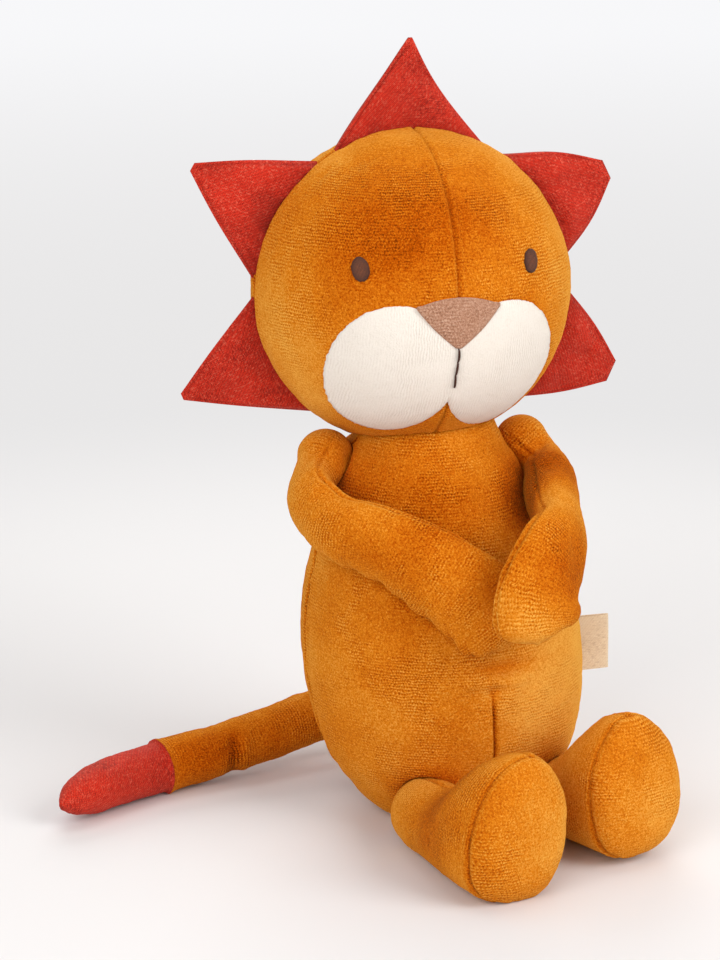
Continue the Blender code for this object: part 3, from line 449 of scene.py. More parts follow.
TAIL_PIVOT = torso_place(np.pi, TAIL_ROOT_HEIGHT, TAIL_ROOT_RADIUS - TAIL_ROOT_SINK)
ROOT_BALLS = [
    (shoulder_pivot(-1), SHOULDER_RADIUS),
    (shoulder_pivot(1), SHOULDER_RADIUS),
    (hip_pivot(LEGS[0][1]), HIP_RADIUS),
    (hip_pivot(LEGS[1][1]), HIP_RADIUS),
    (TAIL_PIVOT, TAIL_ROOT_RADIUS),
]
TORSO_CLEARANCE = 0.3 * MM
HEAD_CLEARANCE = 0.9 * MM


# ---- dense skins


class Form:
    """A closed skin: dense rows of points between two end points, with normals and arc lengths."""

    def __init__(self, rings, first, last, columns, grain):
        rings = np.array(rings)
        rows = np.fft.irfft(np.fft.rfft(rings, axis=1), n=columns, axis=1) * columns / rings.shape[1]
        first, last = (np.repeat(np.array(end)[None], columns, 0) for end in (first, last))
        over = lambda row: np.roll(row, columns // 2, axis=0)
        knots = [over(rows[1]), over(rows[0]), first, *rows, last, over(rows[-1]), over(rows[-2])]
        knots = np.array(knots)
        gaps = np.linalg.norm(knots[1:] - knots[:-1], axis=2).mean(1)
        slopes = np.zeros_like(knots)
        for k in range(1, len(knots) - 1):
            before, after = gaps[k - 1], gaps[k]
            left = (knots[k] - knots[k - 1]) / before
            right = (knots[k + 1] - knots[k]) / after
            slopes[k] = (left * after + right * before) / (before + after)
        points, self.ring_rows = [], []
        for k in range(2, len(knots) - 3):
            steps = max(1, round(gaps[k] / grain))
            self.ring_rows.append(len(points))
            for t in np.arange(steps) / steps:
                points.append(
                    knots[k] * (2 * t**3 - 3 * t**2 + 1)
                    + slopes[k] * gaps[k] * (t**3 - 2 * t**2 + t)
                    + knots[k + 1] * (3 * t**2 - 2 * t**3)
                    + slopes[k + 1] * gaps[k] * (t**3 - t**2)
                )
        self.ring_rows.append(len(points))
        points.append(knots[-3])
        self.place(np.array(points))

    @classmethod
    def of(cls, points):
        form = cls.__new__(cls)
        form.place(points)
        return form

    def place(self, points):
        self.p = points
        self.rows, self.columns = points.shape[:2]
        # painted shade: how much darker the pile is painted in creases, folds and dents
        self.dark = np.zeros((self.rows, self.columns))
        self.lift = np.zeros((self.rows, self.columns))
        self.measure()

    def measure(self):
        p = self.p
        across = np.roll(p, -1, axis=1) - np.roll(p, 1, axis=1)
        down = np.empty_like(p)
        down[1:-1] = p[2:] - p[:-2]
        down[0] = p[1] - np.roll(p[1], self.columns // 2, axis=0)
        down[-1] = np.roll(p[-2], self.columns // 2, axis=0) - p[-2]
        across[0] = across[1]
        across[-1] = across[-2]
        normal = unit(np.cross(across, down))
        if ((p - p.mean((0, 1))) * normal).sum() < 0:
            normal = -normal
        normal[0] = unit(normal[1].mean(0))
        normal[-1] = unit(normal[-2].mean(0))
        self.n = normal
        self.across = np.linalg.norm(np.roll(p, -1, axis=1) - p, axis=2)
        steps = np.cumsum(np.linalg.norm(p[1:] - p[:-1], axis=2), 0)
        self.down = np.concatenate([np.zeros((1, self.columns)), steps])

    def from_column(self, column):
        """Signed distance round the form from a column."""
        steps = np.roll(self.across, -column, axis=1)
        ahead = np.concatenate([np.zeros((self.rows, 1)), np.cumsum(steps, 1)[:, :-1]], 1)
        total = steps.sum(1, keepdims=True)
        return np.roll(np.where(ahead > total / 2, ahead - total, ahead), column, axis=1)

    def from_row(self, row):
        """Signed distance along the form from a row."""
        return self.down - self.down[row]

    def cloth_places(self, column):
        """Cloth places: round the form from a column, and down that column."""
        down = np.repeat(self.down[:, column : column + 1], self.columns, 1)
        return np.stack([self.from_column(column), down], -1)

    def stuff(self, seed, large=0.55, small=0.16, pile=0.07, share=1.0):
        """The unevenness of a stuffed cover, with its parts in millimetres."""
        self.lift += share * MM * (
            large * lattice(self.p, 19 * MM, seed)
            + small * 1.3 * lattice(self.p, 8 * MM, seed + 1)
            + small * lattice(self.p, 3.6 * MM, seed + 2)
            + pile * lattice(self.p, 0.9 * MM, seed + 3)
            + pile * lattice(self.p, 1.7 * MM, seed + 4)
        )

    def sew(self, kind, distance, run, share, seed):
        """Draws the cloth in along a seam, puckers it beside it, and paints shade into its crease."""
        seam = PLAIN_SEAM | SEAMS[kind]
        width, d = seam["width"], np.abs(distance) / MM
        one, other = (line_noise(run, seam["pitch"] * MM, s) for s in (seed, seed + 5))
        groove = -seam["depth"] * bell(d, width)
        roll = seam["swell"] * bell(d - 2.1 * width, 1.3 * width)
        wave = seam["pucker"] * np.where(distance < 0, other, one)
        gather = wave * fading(d, seam["reach"]) * np.minimum(d / width, 1)
        self.lift += (groove + roll + gather) * MM * share
        # painted shade in the seam's crease
        self.dark += seam["dark"] * bell(distance, seam["crease"] * MM) * share

    def settle(self, balls=()):
        """Lifts the skin, moves it out of the balls and up from the floor, and measures it."""
        self.p = self.p + self.n * self.lift[..., None]
        for centre, radius in balls:
            away = self.p - centre
            reach = np.linalg.norm(away, axis=2, keepdims=True)
            moved = centre + away / np.maximum(reach, 1e-9) * radius
            self.p = np.where(reach < radius, moved, self.p)
        self.p[..., 2] = np.maximum(self.p[..., 2], 0.0)
        self.measure()


# ---- objects

materials = {}


def quads(*corners):
    return np.stack(corners, -1).reshape(-1, 4).tolist()


def grid_quads(index):
    return quads(index[:-1, :-1], index[:-1, 1:], index[1:, 1:], index[1:, :-1])


def facing(faces, points, outward):
    """The faces, turned over if they face inward."""
    a, b, c = (points[[f[k] for f in faces]] for k in range(3))
    inward = (np.cross(b - a, c - a) * outward).sum() < 0
    return [f[::-1] for f in faces] if inward else faces


def mesh_object(name, points, faces, material, uv=None, **marks):
    mesh = bpy.data.meshes.new(name)
    mesh.from_pydata(np.asarray(points).tolist(), [], [tuple(f) for f in faces])
    mesh.materials.append(materials[material])
    if uv is not None:
        layer = mesh.uv_layers.new(name="cloth")
        index = np.empty(len(mesh.loops), np.int32)
        mesh.loops.foreach_get("vertex_index", index)
        layer.data.foreach_set("uv", np.asarray(uv, np.float32)[index].ravel())
    for mark, values in marks.items():
        data = mesh.attributes.new(mark, "FLOAT", "POINT").data
        data.foreach_set("value", np.asarray(values, np.float32).ravel())
    mesh.shade_smooth()
    item = bpy.data.objects.new(name, mesh)
    bpy.context.scene.collection.objects.link(item)
    return item


def dress(item, body, nodes):
    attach(item, body)
    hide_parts(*nodes)


def pile_and_painted_light(p, normals):
    """How far the pile stands up, from 0 where it lies flat and dark to 1 where it is pale, with a painted
    sheen to its edges, painted light on its left side and painted light and shade in spots.
    """
    # painted sheen: paler where the cloth turns away from the front
    lean = FRONT_LEAN + EDGE_SHEEN * (1 - np.abs(normals[:, 1])) ** EDGE_POWER
    # painted light on the side that faces the key light
    lean += LEFT_SIDE_LIGHT * normals[:, 0]
    for amount, size, seed in LEAN_PATCHES:
        lean += amount * lattice(p, size, seed)
    # painted light and shade in spots, with the pile raised or stroked flat there
    for centre, radius, amount in PILE_AND_LIGHT_SPOTS:
        lean += amount * bell(np.linalg.norm(p - np.array(centre), axis=1), radius)
    return np.clip(lean, 0.0, 1.0)


def cover(form, name, rows, columns, uv, body, nodes, material="ochre"):
    """The part of a form between two rows and two columns, with its edge turned in."""
    (top, bottom), (left, right) = rows, columns
    whole = right - left >= form.columns
    cols = [c % form.columns for c in range(left, right if whole else right + 1)]
    first_pole, last_pole = top == 0, bottom == form.rows - 1
    cells = np.ix_(range(top + first_pole, bottom + 1 - last_pole), cols)
    points, normals = form.p[cells].reshape(-1, 3), form.n[cells].reshape(-1, 3)
    coords = np.concatenate([uv, form.dark[..., None]], -1)[cells].reshape(-1, 3)
    index = np.arange(len(points)).reshape(-1, len(cols))
    here, beside = index[:, :-1], index[:, 1:]
    if whole:
        here, beside = index, np.roll(index, -1, axis=1)
    faces = quads(here[:-1], here[1:], beside[1:], beside[:-1])
    for pole, row, end in ((first_pole, 0, 0), (last_pole, -1, form.rows - 1)):
        if pole:
            number = len(points)
            fan = zip(here[row], beside[row])
            faces += [[number, b, a] if row else [number, a, b] for a, b in fan]
            points = np.concatenate([points, form.p[end, cols[len(cols) // 2]][None]])
            normals = np.concatenate([normals, form.n[end, :1]])
            coords = np.concatenate([coords, coords[index[row]].mean(0)[None]])
    faces = facing(faces, points, normals[[f[0] for f in faces]])
    edges = dict.fromkeys(edge for f in faces for edge in zip(f, f[1:] + f[:1]))
    open_edges = [e for e in edges if e[::-1] not in edges]
    rim = sorted({v for e in open_edges for v in e})
    under = {v: len(points) + k for k, v in enumerate(rim)}
    faces += [[b, under[b], under[a], a] for a, b in open_edges]
    points = np.concatenate([points, points[rim] - normals[rim] * LIP])
    normals = np.concatenate([normals, normals[rim]])
    coords = np.concatenate([coords, coords[rim]])
    # the pile's paleness with its painted light, less the painted shade of creases, folds and dents
    nap = pile_and_painted_light(points, normals) - coords[:, 2]
    item = mesh_object(name, points, faces, material, uv=coords[:, :2], nap=nap)
    dress(item, body, nodes)


def sewn_halves(form, limb, layers, last_row):
    """The two cloths of a limb, each half of the way round it."""
    half = form.columns // 2
    for layer, start in zip(layers, (0, half)):
        piece = f"{limb}_{layer}"
        nodes = [piece] + ([f"{limb}_stuffing"] if layer == "outer" else [])
        uv = form.cloth_places(start + half // 2)
        cover(form, f"{piece}_velour", (0, last_row), (start, start + half), uv, limb, nodes)


# ---- materials


class Nodes:
    """Short ways to add shader nodes."""

    def __init__(self, owner, shader="Principled BSDF"):
        self.owner = owner
        owner.use_nodes = True
        self.tree = owner.node_tree
        self.shader = self.tree.nodes[shader]

    def add(self, kind, inputs=None, **values):
        node = self.tree.nodes.new(kind)
        for key, value in values.items():
            setattr(node, key, value)
        for key, value in (inputs or {}).items():
            self.feed(node.inputs[key], value)
        return node

    def feed(self, socket, value):
        if isinstance(value, bpy.types.NodeSocket):
            self.tree.links.new(value, socket)
        else:
            socket.default_value = value

    def place(self):
        return self.add("ShaderNodeTexCoord").outputs["Object"]

    def cloth(self):
        return self.add("ShaderNodeUVMap", uv_map="cloth").outputs["UV"]

    def mark(self, name):
        return self.add("ShaderNodeAttribute", attribute_name=name).outputs["Fac"]

    def math(self, operation, *values):
        return self.add("ShaderNodeMath", dict(enumerate(values)), operation=operation).outputs[0]

    def vector(self, operation, *values):
        return self.add("ShaderNodeVectorMath", dict(enumerate(values)), operation=operation)

    def total(self, start, *terms):
        """A start value plus each value times its weight."""
        for value, weight in terms:
            start = self.math("MULTIPLY_ADD", value, weight, start)
        return start

    def noise(self, vector, scale, detail=2.0, roughness=0.5, output="Fac"):
        inputs = {"Vector": vector, "Scale": scale, "Detail": detail, "Roughness": roughness}
        return self.add("ShaderNodeTexNoise", inputs).outputs[output]

    def ramp(self, value, low, high):
        inputs = {"Value": value, "From Min": low, "From Max": high}
        return self.add("ShaderNodeMapRange", inputs, interpolation_type="SMOOTHSTEP").outputs[0]

    def blend(self, share, first, second):
        inputs = {0: share, 6: first, 7: second}
        return self.add("ShaderNodeMix", inputs, data_type="RGBA").outputs[2]

    def cloth_waves(self, cloth, scale, detail, stray, pitch_u, pitch_v):
        """Angles across and along the cloth that turn once per pitch, straying a little."""
        wander = self.noise(cloth, scale, detail, output="Color")
        strayed = self.vector("MULTIPLY_ADD", wander, (stray, stray, 0.0), cloth).outputs[0]
        split = self.add("ShaderNodeSeparateXYZ", {"Vector": strayed}).outputs
        return (self.math("MULTIPLY", split[k], TURN / p) for k, p in ((0, pitch_u), (1, pitch_v)))

    def seen_directly(self):
        """1 for rays that show the background: the camera's, reflected and passed-through ones."""
        path = self.add("ShaderNodeLightPath").outputs
        through = self.math("MAXIMUM", path["Is Glossy Ray"], path["Is Transmission Ray"])
        return self.math("MAXIMUM", path["Is Camera Ray"], through)

    def finish(self, colour, roughness, relief, specular, sheen=0.0, sheen_rough=0.5, tint=(1, 1, 1)):
        height, strength, depth = relief
        inputs = {"Height": height, "Strength": strength, "Distance": depth}
        for socket, value in {
            "Base Color": colour,
            "Normal": self.add("ShaderNodeBump", inputs).outputs["Normal"],
            "Roughness": roughness,
            "Specular IOR Level": specular,
            "Sheen Weight": sheen,
            "Sheen Roughness": sheen_rough,
            "Sheen Tint": (*tint, 1),
        }.items():
            self.feed(self.shader.inputs[socket], value)
        materials[self.owner.name] = self.owner


def velour(name, deep, mid, pale, pitch=1.0, knit=1.0, patch=0.9, grain=1.0, bump=0.7, ribbed=False,
           sheen=0.24, tint=(1.0, 0.55, 0.08)):
    """Short cut pile on a ribbed knit: brushed lighter and darker, with painted light and shade, its rows
    showing through.
    """
    n = Nodes(bpy.data.materials.new(name))
    place = n.place()
    u, v = n.cloth_waves(n.cloth(), 330.0, 2.0, 1.7 * MM, pitch * MM, 1.1 * MM)
    row_number = n.math("FLOOR", n.math("DIVIDE", v, TURN))
    wales = n.math("SINE", n.total(u, (row_number, np.pi)))
    knitted = n.math("SINE", u) if ribbed else n.total(0.0, (n.math("SINE", v), 0.55), (wales, 0.45))
    medium = n.noise(place, 130.0, 3.0, 0.6)
    fibre = n.noise(place, 1500.0, 3.0, 0.7)
    speck = n.noise(place, 3600.0, 2.0, 0.6)
    shows = n.ramp(n.noise(place, 60.0, 3.0, 0.6), 0.40, 0.64)
    rib = n.math("MULTIPLY", knitted, n.total(0.14 * knit, (shows, 0.80 * knit)))
    # each noise and the pile lean, with its painted light and shade, to both sides of their middle, a half
    spread = {"nap": patch, "medium": 0.22, "fibre": 1.5 * grain, "speck": 1.0 * grain}
    weights = zip((n.mark("nap"), medium, fibre, speck), spread.values())
    tone = n.total(0.5 - 0.5 * sum(spread.values()), (rib, 0.36), *weights)
    ramp = n.add("ShaderNodeValToRGB", {"Fac": n.total(0.2, (tone, 0.8))})
    stops = ramp.color_ramp.elements
    # the darkest stop, below deep, takes the deepest painted shade
    stops[0].position, stops[0].color = 0.0, (*(c * 0.30 for c in deep), 1)
    stops[1].position, stops[1].color = 0.96, (*pale, 1)
    stops.new(0.264).color = (*deep, 1)
    stops.new(0.6).color = (*mid, 1)
    height = n.total(0.0, (rib, 0.42), (fibre, 1.35), (speck, 0.5), (medium, 0.25))
    n.finish(ramp.outputs["Color"], n.total(0.78, (fibre, 0.2)), (height, bump, 0.6 * MM), 0.02,
             sheen, 0.42, tint)


def woven(name, warp, weft, fleck, dark, thread=0.34, bump=0.5):
    """Plain cloth woven of two near colours, with paler flecks where the threads are slubbed."""
    n = Nodes(bpy.data.materials.new(name))
    place, cloth = n.place(), n.cloth()
    u, v = n.cloth_waves(cloth, 300.0, 1.0, 0.5 * MM, thread * 2 * MM, thread * 2 * MM)
    weave = n.math("SINE", n.math("ADD", u, v))
    twill = n.math("SINE", n.math("MULTIPLY", n.math("SUBTRACT", u, v), 0.5))
    over = n.ramp(n.total(0.0, (weave, 0.7), (twill, 0.45)), -0.8, 0.8)
    slub, slub_across = (
        n.noise(n.vector("MULTIPLY", cloth, stretch).outputs[0], scale, 3.0, 0.7)
        for stretch, scale in (((1.0, 0.22, 1.0), 2100.0), ((0.22, 1.0, 1.0), 2300.0))
    )
    flecks = n.ramp(n.total(0.0, (slub, 0.6), (slub_across, 0.4)), 0.50, 0.64)
    broad = n.noise(place, 60.0, 3.0, 0.6)
    deep = n.ramp(n.total(0.0, (slub_across, 0.7), (broad, 0.3)), 0.50, 0.36)
    worn = n.ramp(n.noise(place, 45.0, 3.0, 0.6), 0.42, 0.70)
    colour = n.blend(over, (*warp, 1), (*weft, 1))
    for share, amount, shade, level in (
        (flecks, 0.55, fleck, 1.0),
        (deep, 0.7, dark, 1.0),
        (worn, 0.22, weft, 0.55),
    ):
        colour = n.blend(n.math("MULTIPLY", share, amount), colour, (*(c * level for c in shade), 1))
    colour = n.blend(n.mark("shade"), colour, (*(c * 0.35 for c in weft), 1))
    height = n.total(0.0, (weave, 0.35), (twill, 0.30), (slub, 0.9))
    n.finish(colour, n.total(0.72, (slub, 0.2)), (height, bump, 0.2 * MM), 0.2, 0.12, 0.5,
             (1.0, 0.40, 0.30))


def embroidery(name, colour, pale, strand, direction):
    """Side by side strands of thread, darker where the stitches end."""
    n = Nodes(bpy.data.materials.new(name))
    split = n.add("ShaderNodeSeparateXYZ", {"Vector": n.cloth()}).outputs
    noise = n.noise(n.place(), 900.0)
    x = n.total(0.0, *zip(split, direction))
    strands = n.math("SINE", n.total(0.0, (x, TURN / (strand * MM)), (noise, 5.0)))
    tone = n.ramp(n.total(strands, (noise, 1.5)), -0.25, 2.05)
    tone = n.math("MULTIPLY", tone, n.total(0.25, (n.mark("nap"), 0.75)))
    shown = n.blend(tone, (*colour, 1), (*pale, 1))
    n.finish(shown, n.total(0.45, (noise, 0.3)), (strands, 0.6, 0.1 * MM), 0.3)


velour("ochre", (0.46, 0.072, 0.0003), (0.695, 0.207, 0.0075), (0.88, 0.42, 0.070))
velour("white", (0.62, 0.54, 0.46), (0.78, 0.71, 0.63), (0.85, 0.79, 0.72), pitch=0.85, knit=0.6,
       patch=0.15, grain=0.35, bump=0.35, ribbed=True, sheen=0.15, tint=(1, 0.97, 0.93))
velour("nose_brown", (0.24, 0.10, 0.055), (0.46, 0.23, 0.14), (0.66, 0.42, 0.30), knit=0.6,
       patch=0.3, bump=0.8, sheen=0.25, tint=(1, 0.85, 0.75))
woven("red", (0.68, 0.028, 0.008), (0.42, 0.012, 0.003), (0.80, 0.20, 0.12), (0.14, 0.004, 0.002),
      bump=0.9)
woven("ribbon", (0.82, 0.66, 0.46), (0.72, 0.55, 0.36), (0.88, 0.76, 0.58), (0.50, 0.33, 0.20),
      thread=0.3)
embroidery("dark_thread", (0.030, 0.008, 0.004), (0.23, 0.066, 0.022), 0.36, (0.35, 1.0))


# ---- torso


def make_torso():
    """Column 0 is at +X, a quarter round is the front, and half round is at -X."""
    rings = []
    for height, _ in STATIONS:
        rings.append(oval(torso_axis(height), X, -Y, *torso_size(height)))
    shoulder = np.arcsin((STATIONS[-1][0] - NECK[2]) / NECK_RADIUS)
    for share in NECK_RING_SHARES:
        angle = mix(shoulder, np.pi / 2, share)
        reach = NECK_RADIUS * np.cos(angle)
        rings.append(oval(NECK + Z * NECK_RADIUS * np.sin(angle), X, -Y, reach, reach))
    form = Form(rings, torso_axis(0.0), NECK + Z * NECK_RADIUS, TORSO_COLUMNS, TORSO_GRAIN)
    columns = form.columns
    half, back = columns // 2, 3 * columns // 4
    form.stuff(3)
    height = form.p[..., 2]
    low = smooth_step(0.002, 0.010, height)
    for column, seed in ((0, 11), (half, 23), (back, 31)):
        form.sew("torso", form.from_column(column), form.down, low, seed)
    side = form.from_column(columns // 4 - round(DART_ANGLE / TURN * columns))
    front_only = np.abs(side) < FRONT_REACH
    starts = smooth_step(DART_LOW, DART_LOW + 0.006, height)
    ends = smooth_step(DART_HIGH, DART_HIGH - 0.010, height)
    form.sew("dart", side, form.down, starts * ends * front_only, 41)
    away = (form.p - torso_place(DART_ANGLE, DART_HIGH, 0.0)) / MM
    for across, rise, wide, tall, amount in DART_PUCKER:
        spot = bell(away[..., 0] - across, wide) * bell(away[..., 2] - rise, tall) * front_only
        form.lift += amount * MM * spot
        # painted shade in the dents of the folds
        form.dark += max(-amount, 0) * PUCKER_SHADE * spot
    form.settle([(centre, radius + TORSO_CLEARANCE) for centre, radius in ROOT_BALLS])
    for name, cols, nodes in (
        ("front", (0, half), ["torso_front", "torso_stuffing"]),
        ("back_right", (half, back), ["torso_back_right"]),
        ("back_left", (back, columns), ["torso_back_left", "pellet_bag"]),
    ):
        uv = form.cloth_places(sum(cols) // 2)
        cover(form, f"torso_{name}_velour", (0, form.rows - 1), cols, uv, "torso", nodes)
    return form


torso = make_torso()


# ---- head and face


def muzzle_reach(direction):
    """How far the muzzle's outline reaches from between its lobes."""
    best = 0
    for side in (1, -1):
        lean = -side * LOBE_TILT
        x, z = np.sin(direction), np.cos(direction)
        run_x = x * np.cos(lean) + z * np.sin(lean)
        run_z = z * np.cos(lean) - x * np.sin(lean)
        start_x, start_z = -side * LOBE_SPREAD * np.cos(lean), side * LOBE_SPREAD * np.sin(lean)
        wide, tall = LOBE_WIDTH / 2, LOBE_HEIGHT / 2
        a = (run_x / wide) ** 2 + (run_z / tall) ** 2
        b = run_x * start_x / wide**2 + run_z * start_z / tall**2
        c = (start_x / wide) ** 2 + (start_z / tall) ** 2 - 1
        best = np.maximum(best, (-b + np.sqrt(np.maximum(b * b - a * c, 0.0))) / a)
    return best


def make_head():
    """Rows run from the middle of the face to the back, and columns round from the crown."""
    turns = TURN * np.arange(HEAD_COLUMNS) / HEAD_COLUMNS
    angle, turn = np.meshgrid(np.linspace(0, np.pi, HEAD_ROWS), turns, indexing="ij")
    depth = np.where(np.cos(angle) > 0, HEAD_FRONT, HEAD_BACK)
    across = HEAD_WIDTH / 2 * np.sin(angle) * np.sin(turn)
    rise = HEAD_HEIGHT / 2 * np.sin(angle) * np.cos(turn)
    form = Form.of(HEAD_CENTRE + np.stack([across, -depth * np.cos(angle), rise], -1))
    local = form.p - HEAD_CENTRE
    longitude = np.arctan2(local[..., 0], -local[..., 1])
    latitude = np.arcsin(np.clip(local[..., 2] / (HEAD_HEIGHT / 2), -1, 1))
    radius = HEAD_WIDTH / 2
    equator, last, half = HEAD_ROWS // 2, HEAD_ROWS - 1, HEAD_COLUMNS // 2
    form.stuff(7, large=0.45)
    run = radius * np.arctan2(local[..., 2], -local[..., 1])
    form.sew("face", local[..., 0], run, 1.0, 51)
    form.sew("mane", form.from_row(equator), turn * radius, 1.0, 61)
    # the muzzle is set in: the head dips under its edge
    x, z = local[..., 0] - MUZZLE_SHIFT, local[..., 2] + LOBE_DROP
    past = np.hypot(x, z) - muzzle_reach(np.arctan2(x, z))
    form.lift -= smooth_step(MUZZLE_EDGE, -MUZZLE_EDGE, past) * (local[..., 1] < 0) * MUZZLE_SINK
    form.settle([(NECK, NECK_RADIUS + HEAD_CLEARANCE)])
    behind = np.where(longitude > 0, longitude - np.pi, longitude + np.pi)
    for part, rows, around in (("front", (0, equator), longitude), ("back", (equator, last), behind)):
        uv = np.stack([radius * around * np.cos(latitude) ** 0.5, radius * latitude], -1)
        for side, cols in (("left", (0, half)), ("right", (half, HEAD_COLUMNS))):
            name = f"head_{part}_{side}"
            nodes = [name] + (["head_stuffing"] if name == "head_front_left" else [])
            cover(form, f"{name}_velour", rows, cols, uv, "head", nodes)


def face_point(across, rise, out):
    """A place over the face, out from its surface."""
    share = (2 * across / HEAD_WIDTH) ** 2 + (2 * rise / HEAD_HEIGHT) ** 2
    forward = HEAD_FRONT * np.sqrt(np.maximum(1 - share, 0.0))
    slope = np.stack([4 * across / HEAD_WIDTH**2, -forward / HEAD_FRONT**2, 4 * rise / HEAD_HEIGHT**2], -1)
    return HEAD_CENTRE + np.stack([across, -forward, rise], -1) + unit(slope) * np.asarray(out)[..., None]


def patch(name, centre, outline, crown, edge, material, slot, node, rings, seed=5, rough=0.05, fill=None,
          nap=(0.5, 0.5)):
    """A cut shape laid on the face, crowned in the middle and thin at its edge."""
    count = len(outline)
    centre = np.array(centre)
    shares = np.linspace(0, 1, rings + 1)[1:]
    flat = centre + (outline[None] - centre) * shares[:, None, None]
    lift = (edge + (crown - edge) * (1 - shares**6)[:, None] * np.ones(count)) * MM
    points = face_point(flat[..., 0], flat[..., 1], lift)
    uneven = lattice(points, 0.9 * MM, seed) + lattice(points, 2.4 * MM, seed + 1)
    points = points + unit(points - HEAD_CENTRE) * (rough * uneven * MM)[..., None]
    flat = np.concatenate([flat, flat[-1:]])
    rim = face_point(*np.moveaxis(flat[-1:], -1, 0), np.full((1, count), -0.6 * MM))
    middle = face_point(centre[:1], centre[1:], np.array([crown * MM]))
    points = np.concatenate([middle, np.concatenate([points, rim]).reshape(-1, 3)])
    index = 1 + np.arange((rings + 1) * count).reshape(rings + 1, count)
    beside = np.roll(index, -1, axis=1)
    faces = quads(index[:-1], index[1:], beside[1:], beside[:-1])
    faces = facing(faces + [[0, a, b] for a, b in zip(index[0], beside[0])], points, -Y)
    uv = np.concatenate([[centre], flat.reshape(-1, 2)])
    naps = np.repeat(mix(*nap, np.append(shares, 1.0) ** 2), count)
    item = mesh_object(name, points, faces, material, uv=uv, nap=np.append(nap[0], naps))
    dress(item, "head", [node])


def nose_outline():
    """A triangle with rounded corners and bowed sides."""
    half = NOSE_WIDTH / 2
    corners = np.array(((half, NOSE_TOP), (0.0, NOSE_BOTTOM), (-half, NOSE_TOP)))
    outline = []
    for k, bow in enumerate(NOSE_BOWS):
        before, corner, after = corners[k - 1], corners[k], corners[(k + 1) % 3]
        start = corner + unit(before - corner) * NOSE_CORNER
        end = corner + unit(after - corner) * NOSE_CORNER
        far = after + unit(corner - after) * NOSE_CORNER
        for t in np.linspace(0, 1, 14):
            outline.append(mix(mix(start, corner, t), mix(corner, end, t), t))
        outward = unit(np.array([(end - far)[1], (far - end)[0]]))
        for t in np.linspace(0, 1, 22)[1:-1]:
            outline.append(mix(end, far, t) + outward * bow * 4 * t * (1 - t))
    return np.array(outline)


def make_mouth():
    """A few long stitches of thread, each sinking into the cloth at its ends."""
    steps, sides = 14, 8
    first = NOSE_BOTTOM + 0.5 * MM
    length = (first - MOUTH_BOTTOM) / MOUTH_STITCHES
    turn = TURN * np.arange(sides) / sides
    points, uv, faces = [], [], []
    for stitch in range(MOUTH_STITCHES):
        start = first - stitch * length + 0.4 * MM
        base = len(points)
        for t in np.arange(steps + 1) / steps:
            rise = mix(start, start - length - 0.2 * MM, t)
            lift = 1.25 * MM + 0.55 * MM * np.sin(np.pi * t) ** 0.6 - 0.5 * MM * (t in (0, 1))
            sway = 0.12 * MM * np.sin(stitch * 2.2 + t * 3)
            radius = MOUTH_THREAD * (0.35 + 0.65 * np.sin(np.pi * np.clip(t, 0.02, 0.98)) ** 0.4)
            centre = face_point(np.array(sway), np.array(rise), np.array(lift))
            out = unit(centre - HEAD_CENTRE)
            points.extend(centre + (np.outer(np.cos(turn), X) + np.outer(np.sin(turn), out)) * radius)
            uv += [(k / sides * 0.6 * MM, rise) for k in range(sides)]
        index = base + np.arange((steps + 1) * sides).reshape(-1, sides)
        beside = np.roll(index, -1, axis=1)
        faces += quads(index[:-1], beside[:-1], beside[1:], index[1:])
        faces += [index[0, ::-1].tolist(), index[-1].tolist()]
    item = mesh_object("mouth_stitching", points, faces, "dark_thread", uv=uv)
    dress(item, "head", ["mouth_stitch"])


def make_face():
    turns = TURN * np.arange(360) / 360
    middle = (MUZZLE_SHIFT, -LOBE_DROP)
    fray = 0.28 * line_noise(turns * 0.03, 0.55 * MM, 4) + 0.25 * line_noise(turns * 0.03, 2.4 * MM, 5)
    reach = (muzzle_reach(turns) + fray * MM)[:, None]
    muzzle = middle + reach * np.stack([np.sin(turns), np.cos(turns)], -1)
    patch("muzzle_velour", middle, muzzle, 1.15, 0.15, "white", "white_velour", "muzzle_patch", 46,
          fill=0.5)
    patch("nose_velour", (0.0, NOSE_MIDDLE), nose_outline(), 1.95, 1.35, "nose_brown", "brown_velour",
          "nose_patch", 16, seed=15, rough=0.14, fill=0.3)
    turns = TURN * np.arange(48) / 48
    for side, name in ((1, "eye_left"), (-1, "eye_right")):
        centre = (side * EYE_SPREAD + EYE_SHIFT, EYE_RISE)
        ragged = 0.5 + 0.025 * line_noise(turns * 0.004, 0.9 * MM, 31 + side)
        size = np.stack([EYE_WIDTH * np.sin(turns), EYE_HEIGHT * np.cos(turns)], -1)
        patch(f"{name}_stitching", centre, centre + size * ragged[:, None], 0.75, 0.50, "dark_thread",
              "brown_thread", name, 8, seed=21, nap=(1.0, 0.0))
    make_mouth()


make_head()
make_face()


# ---- mane


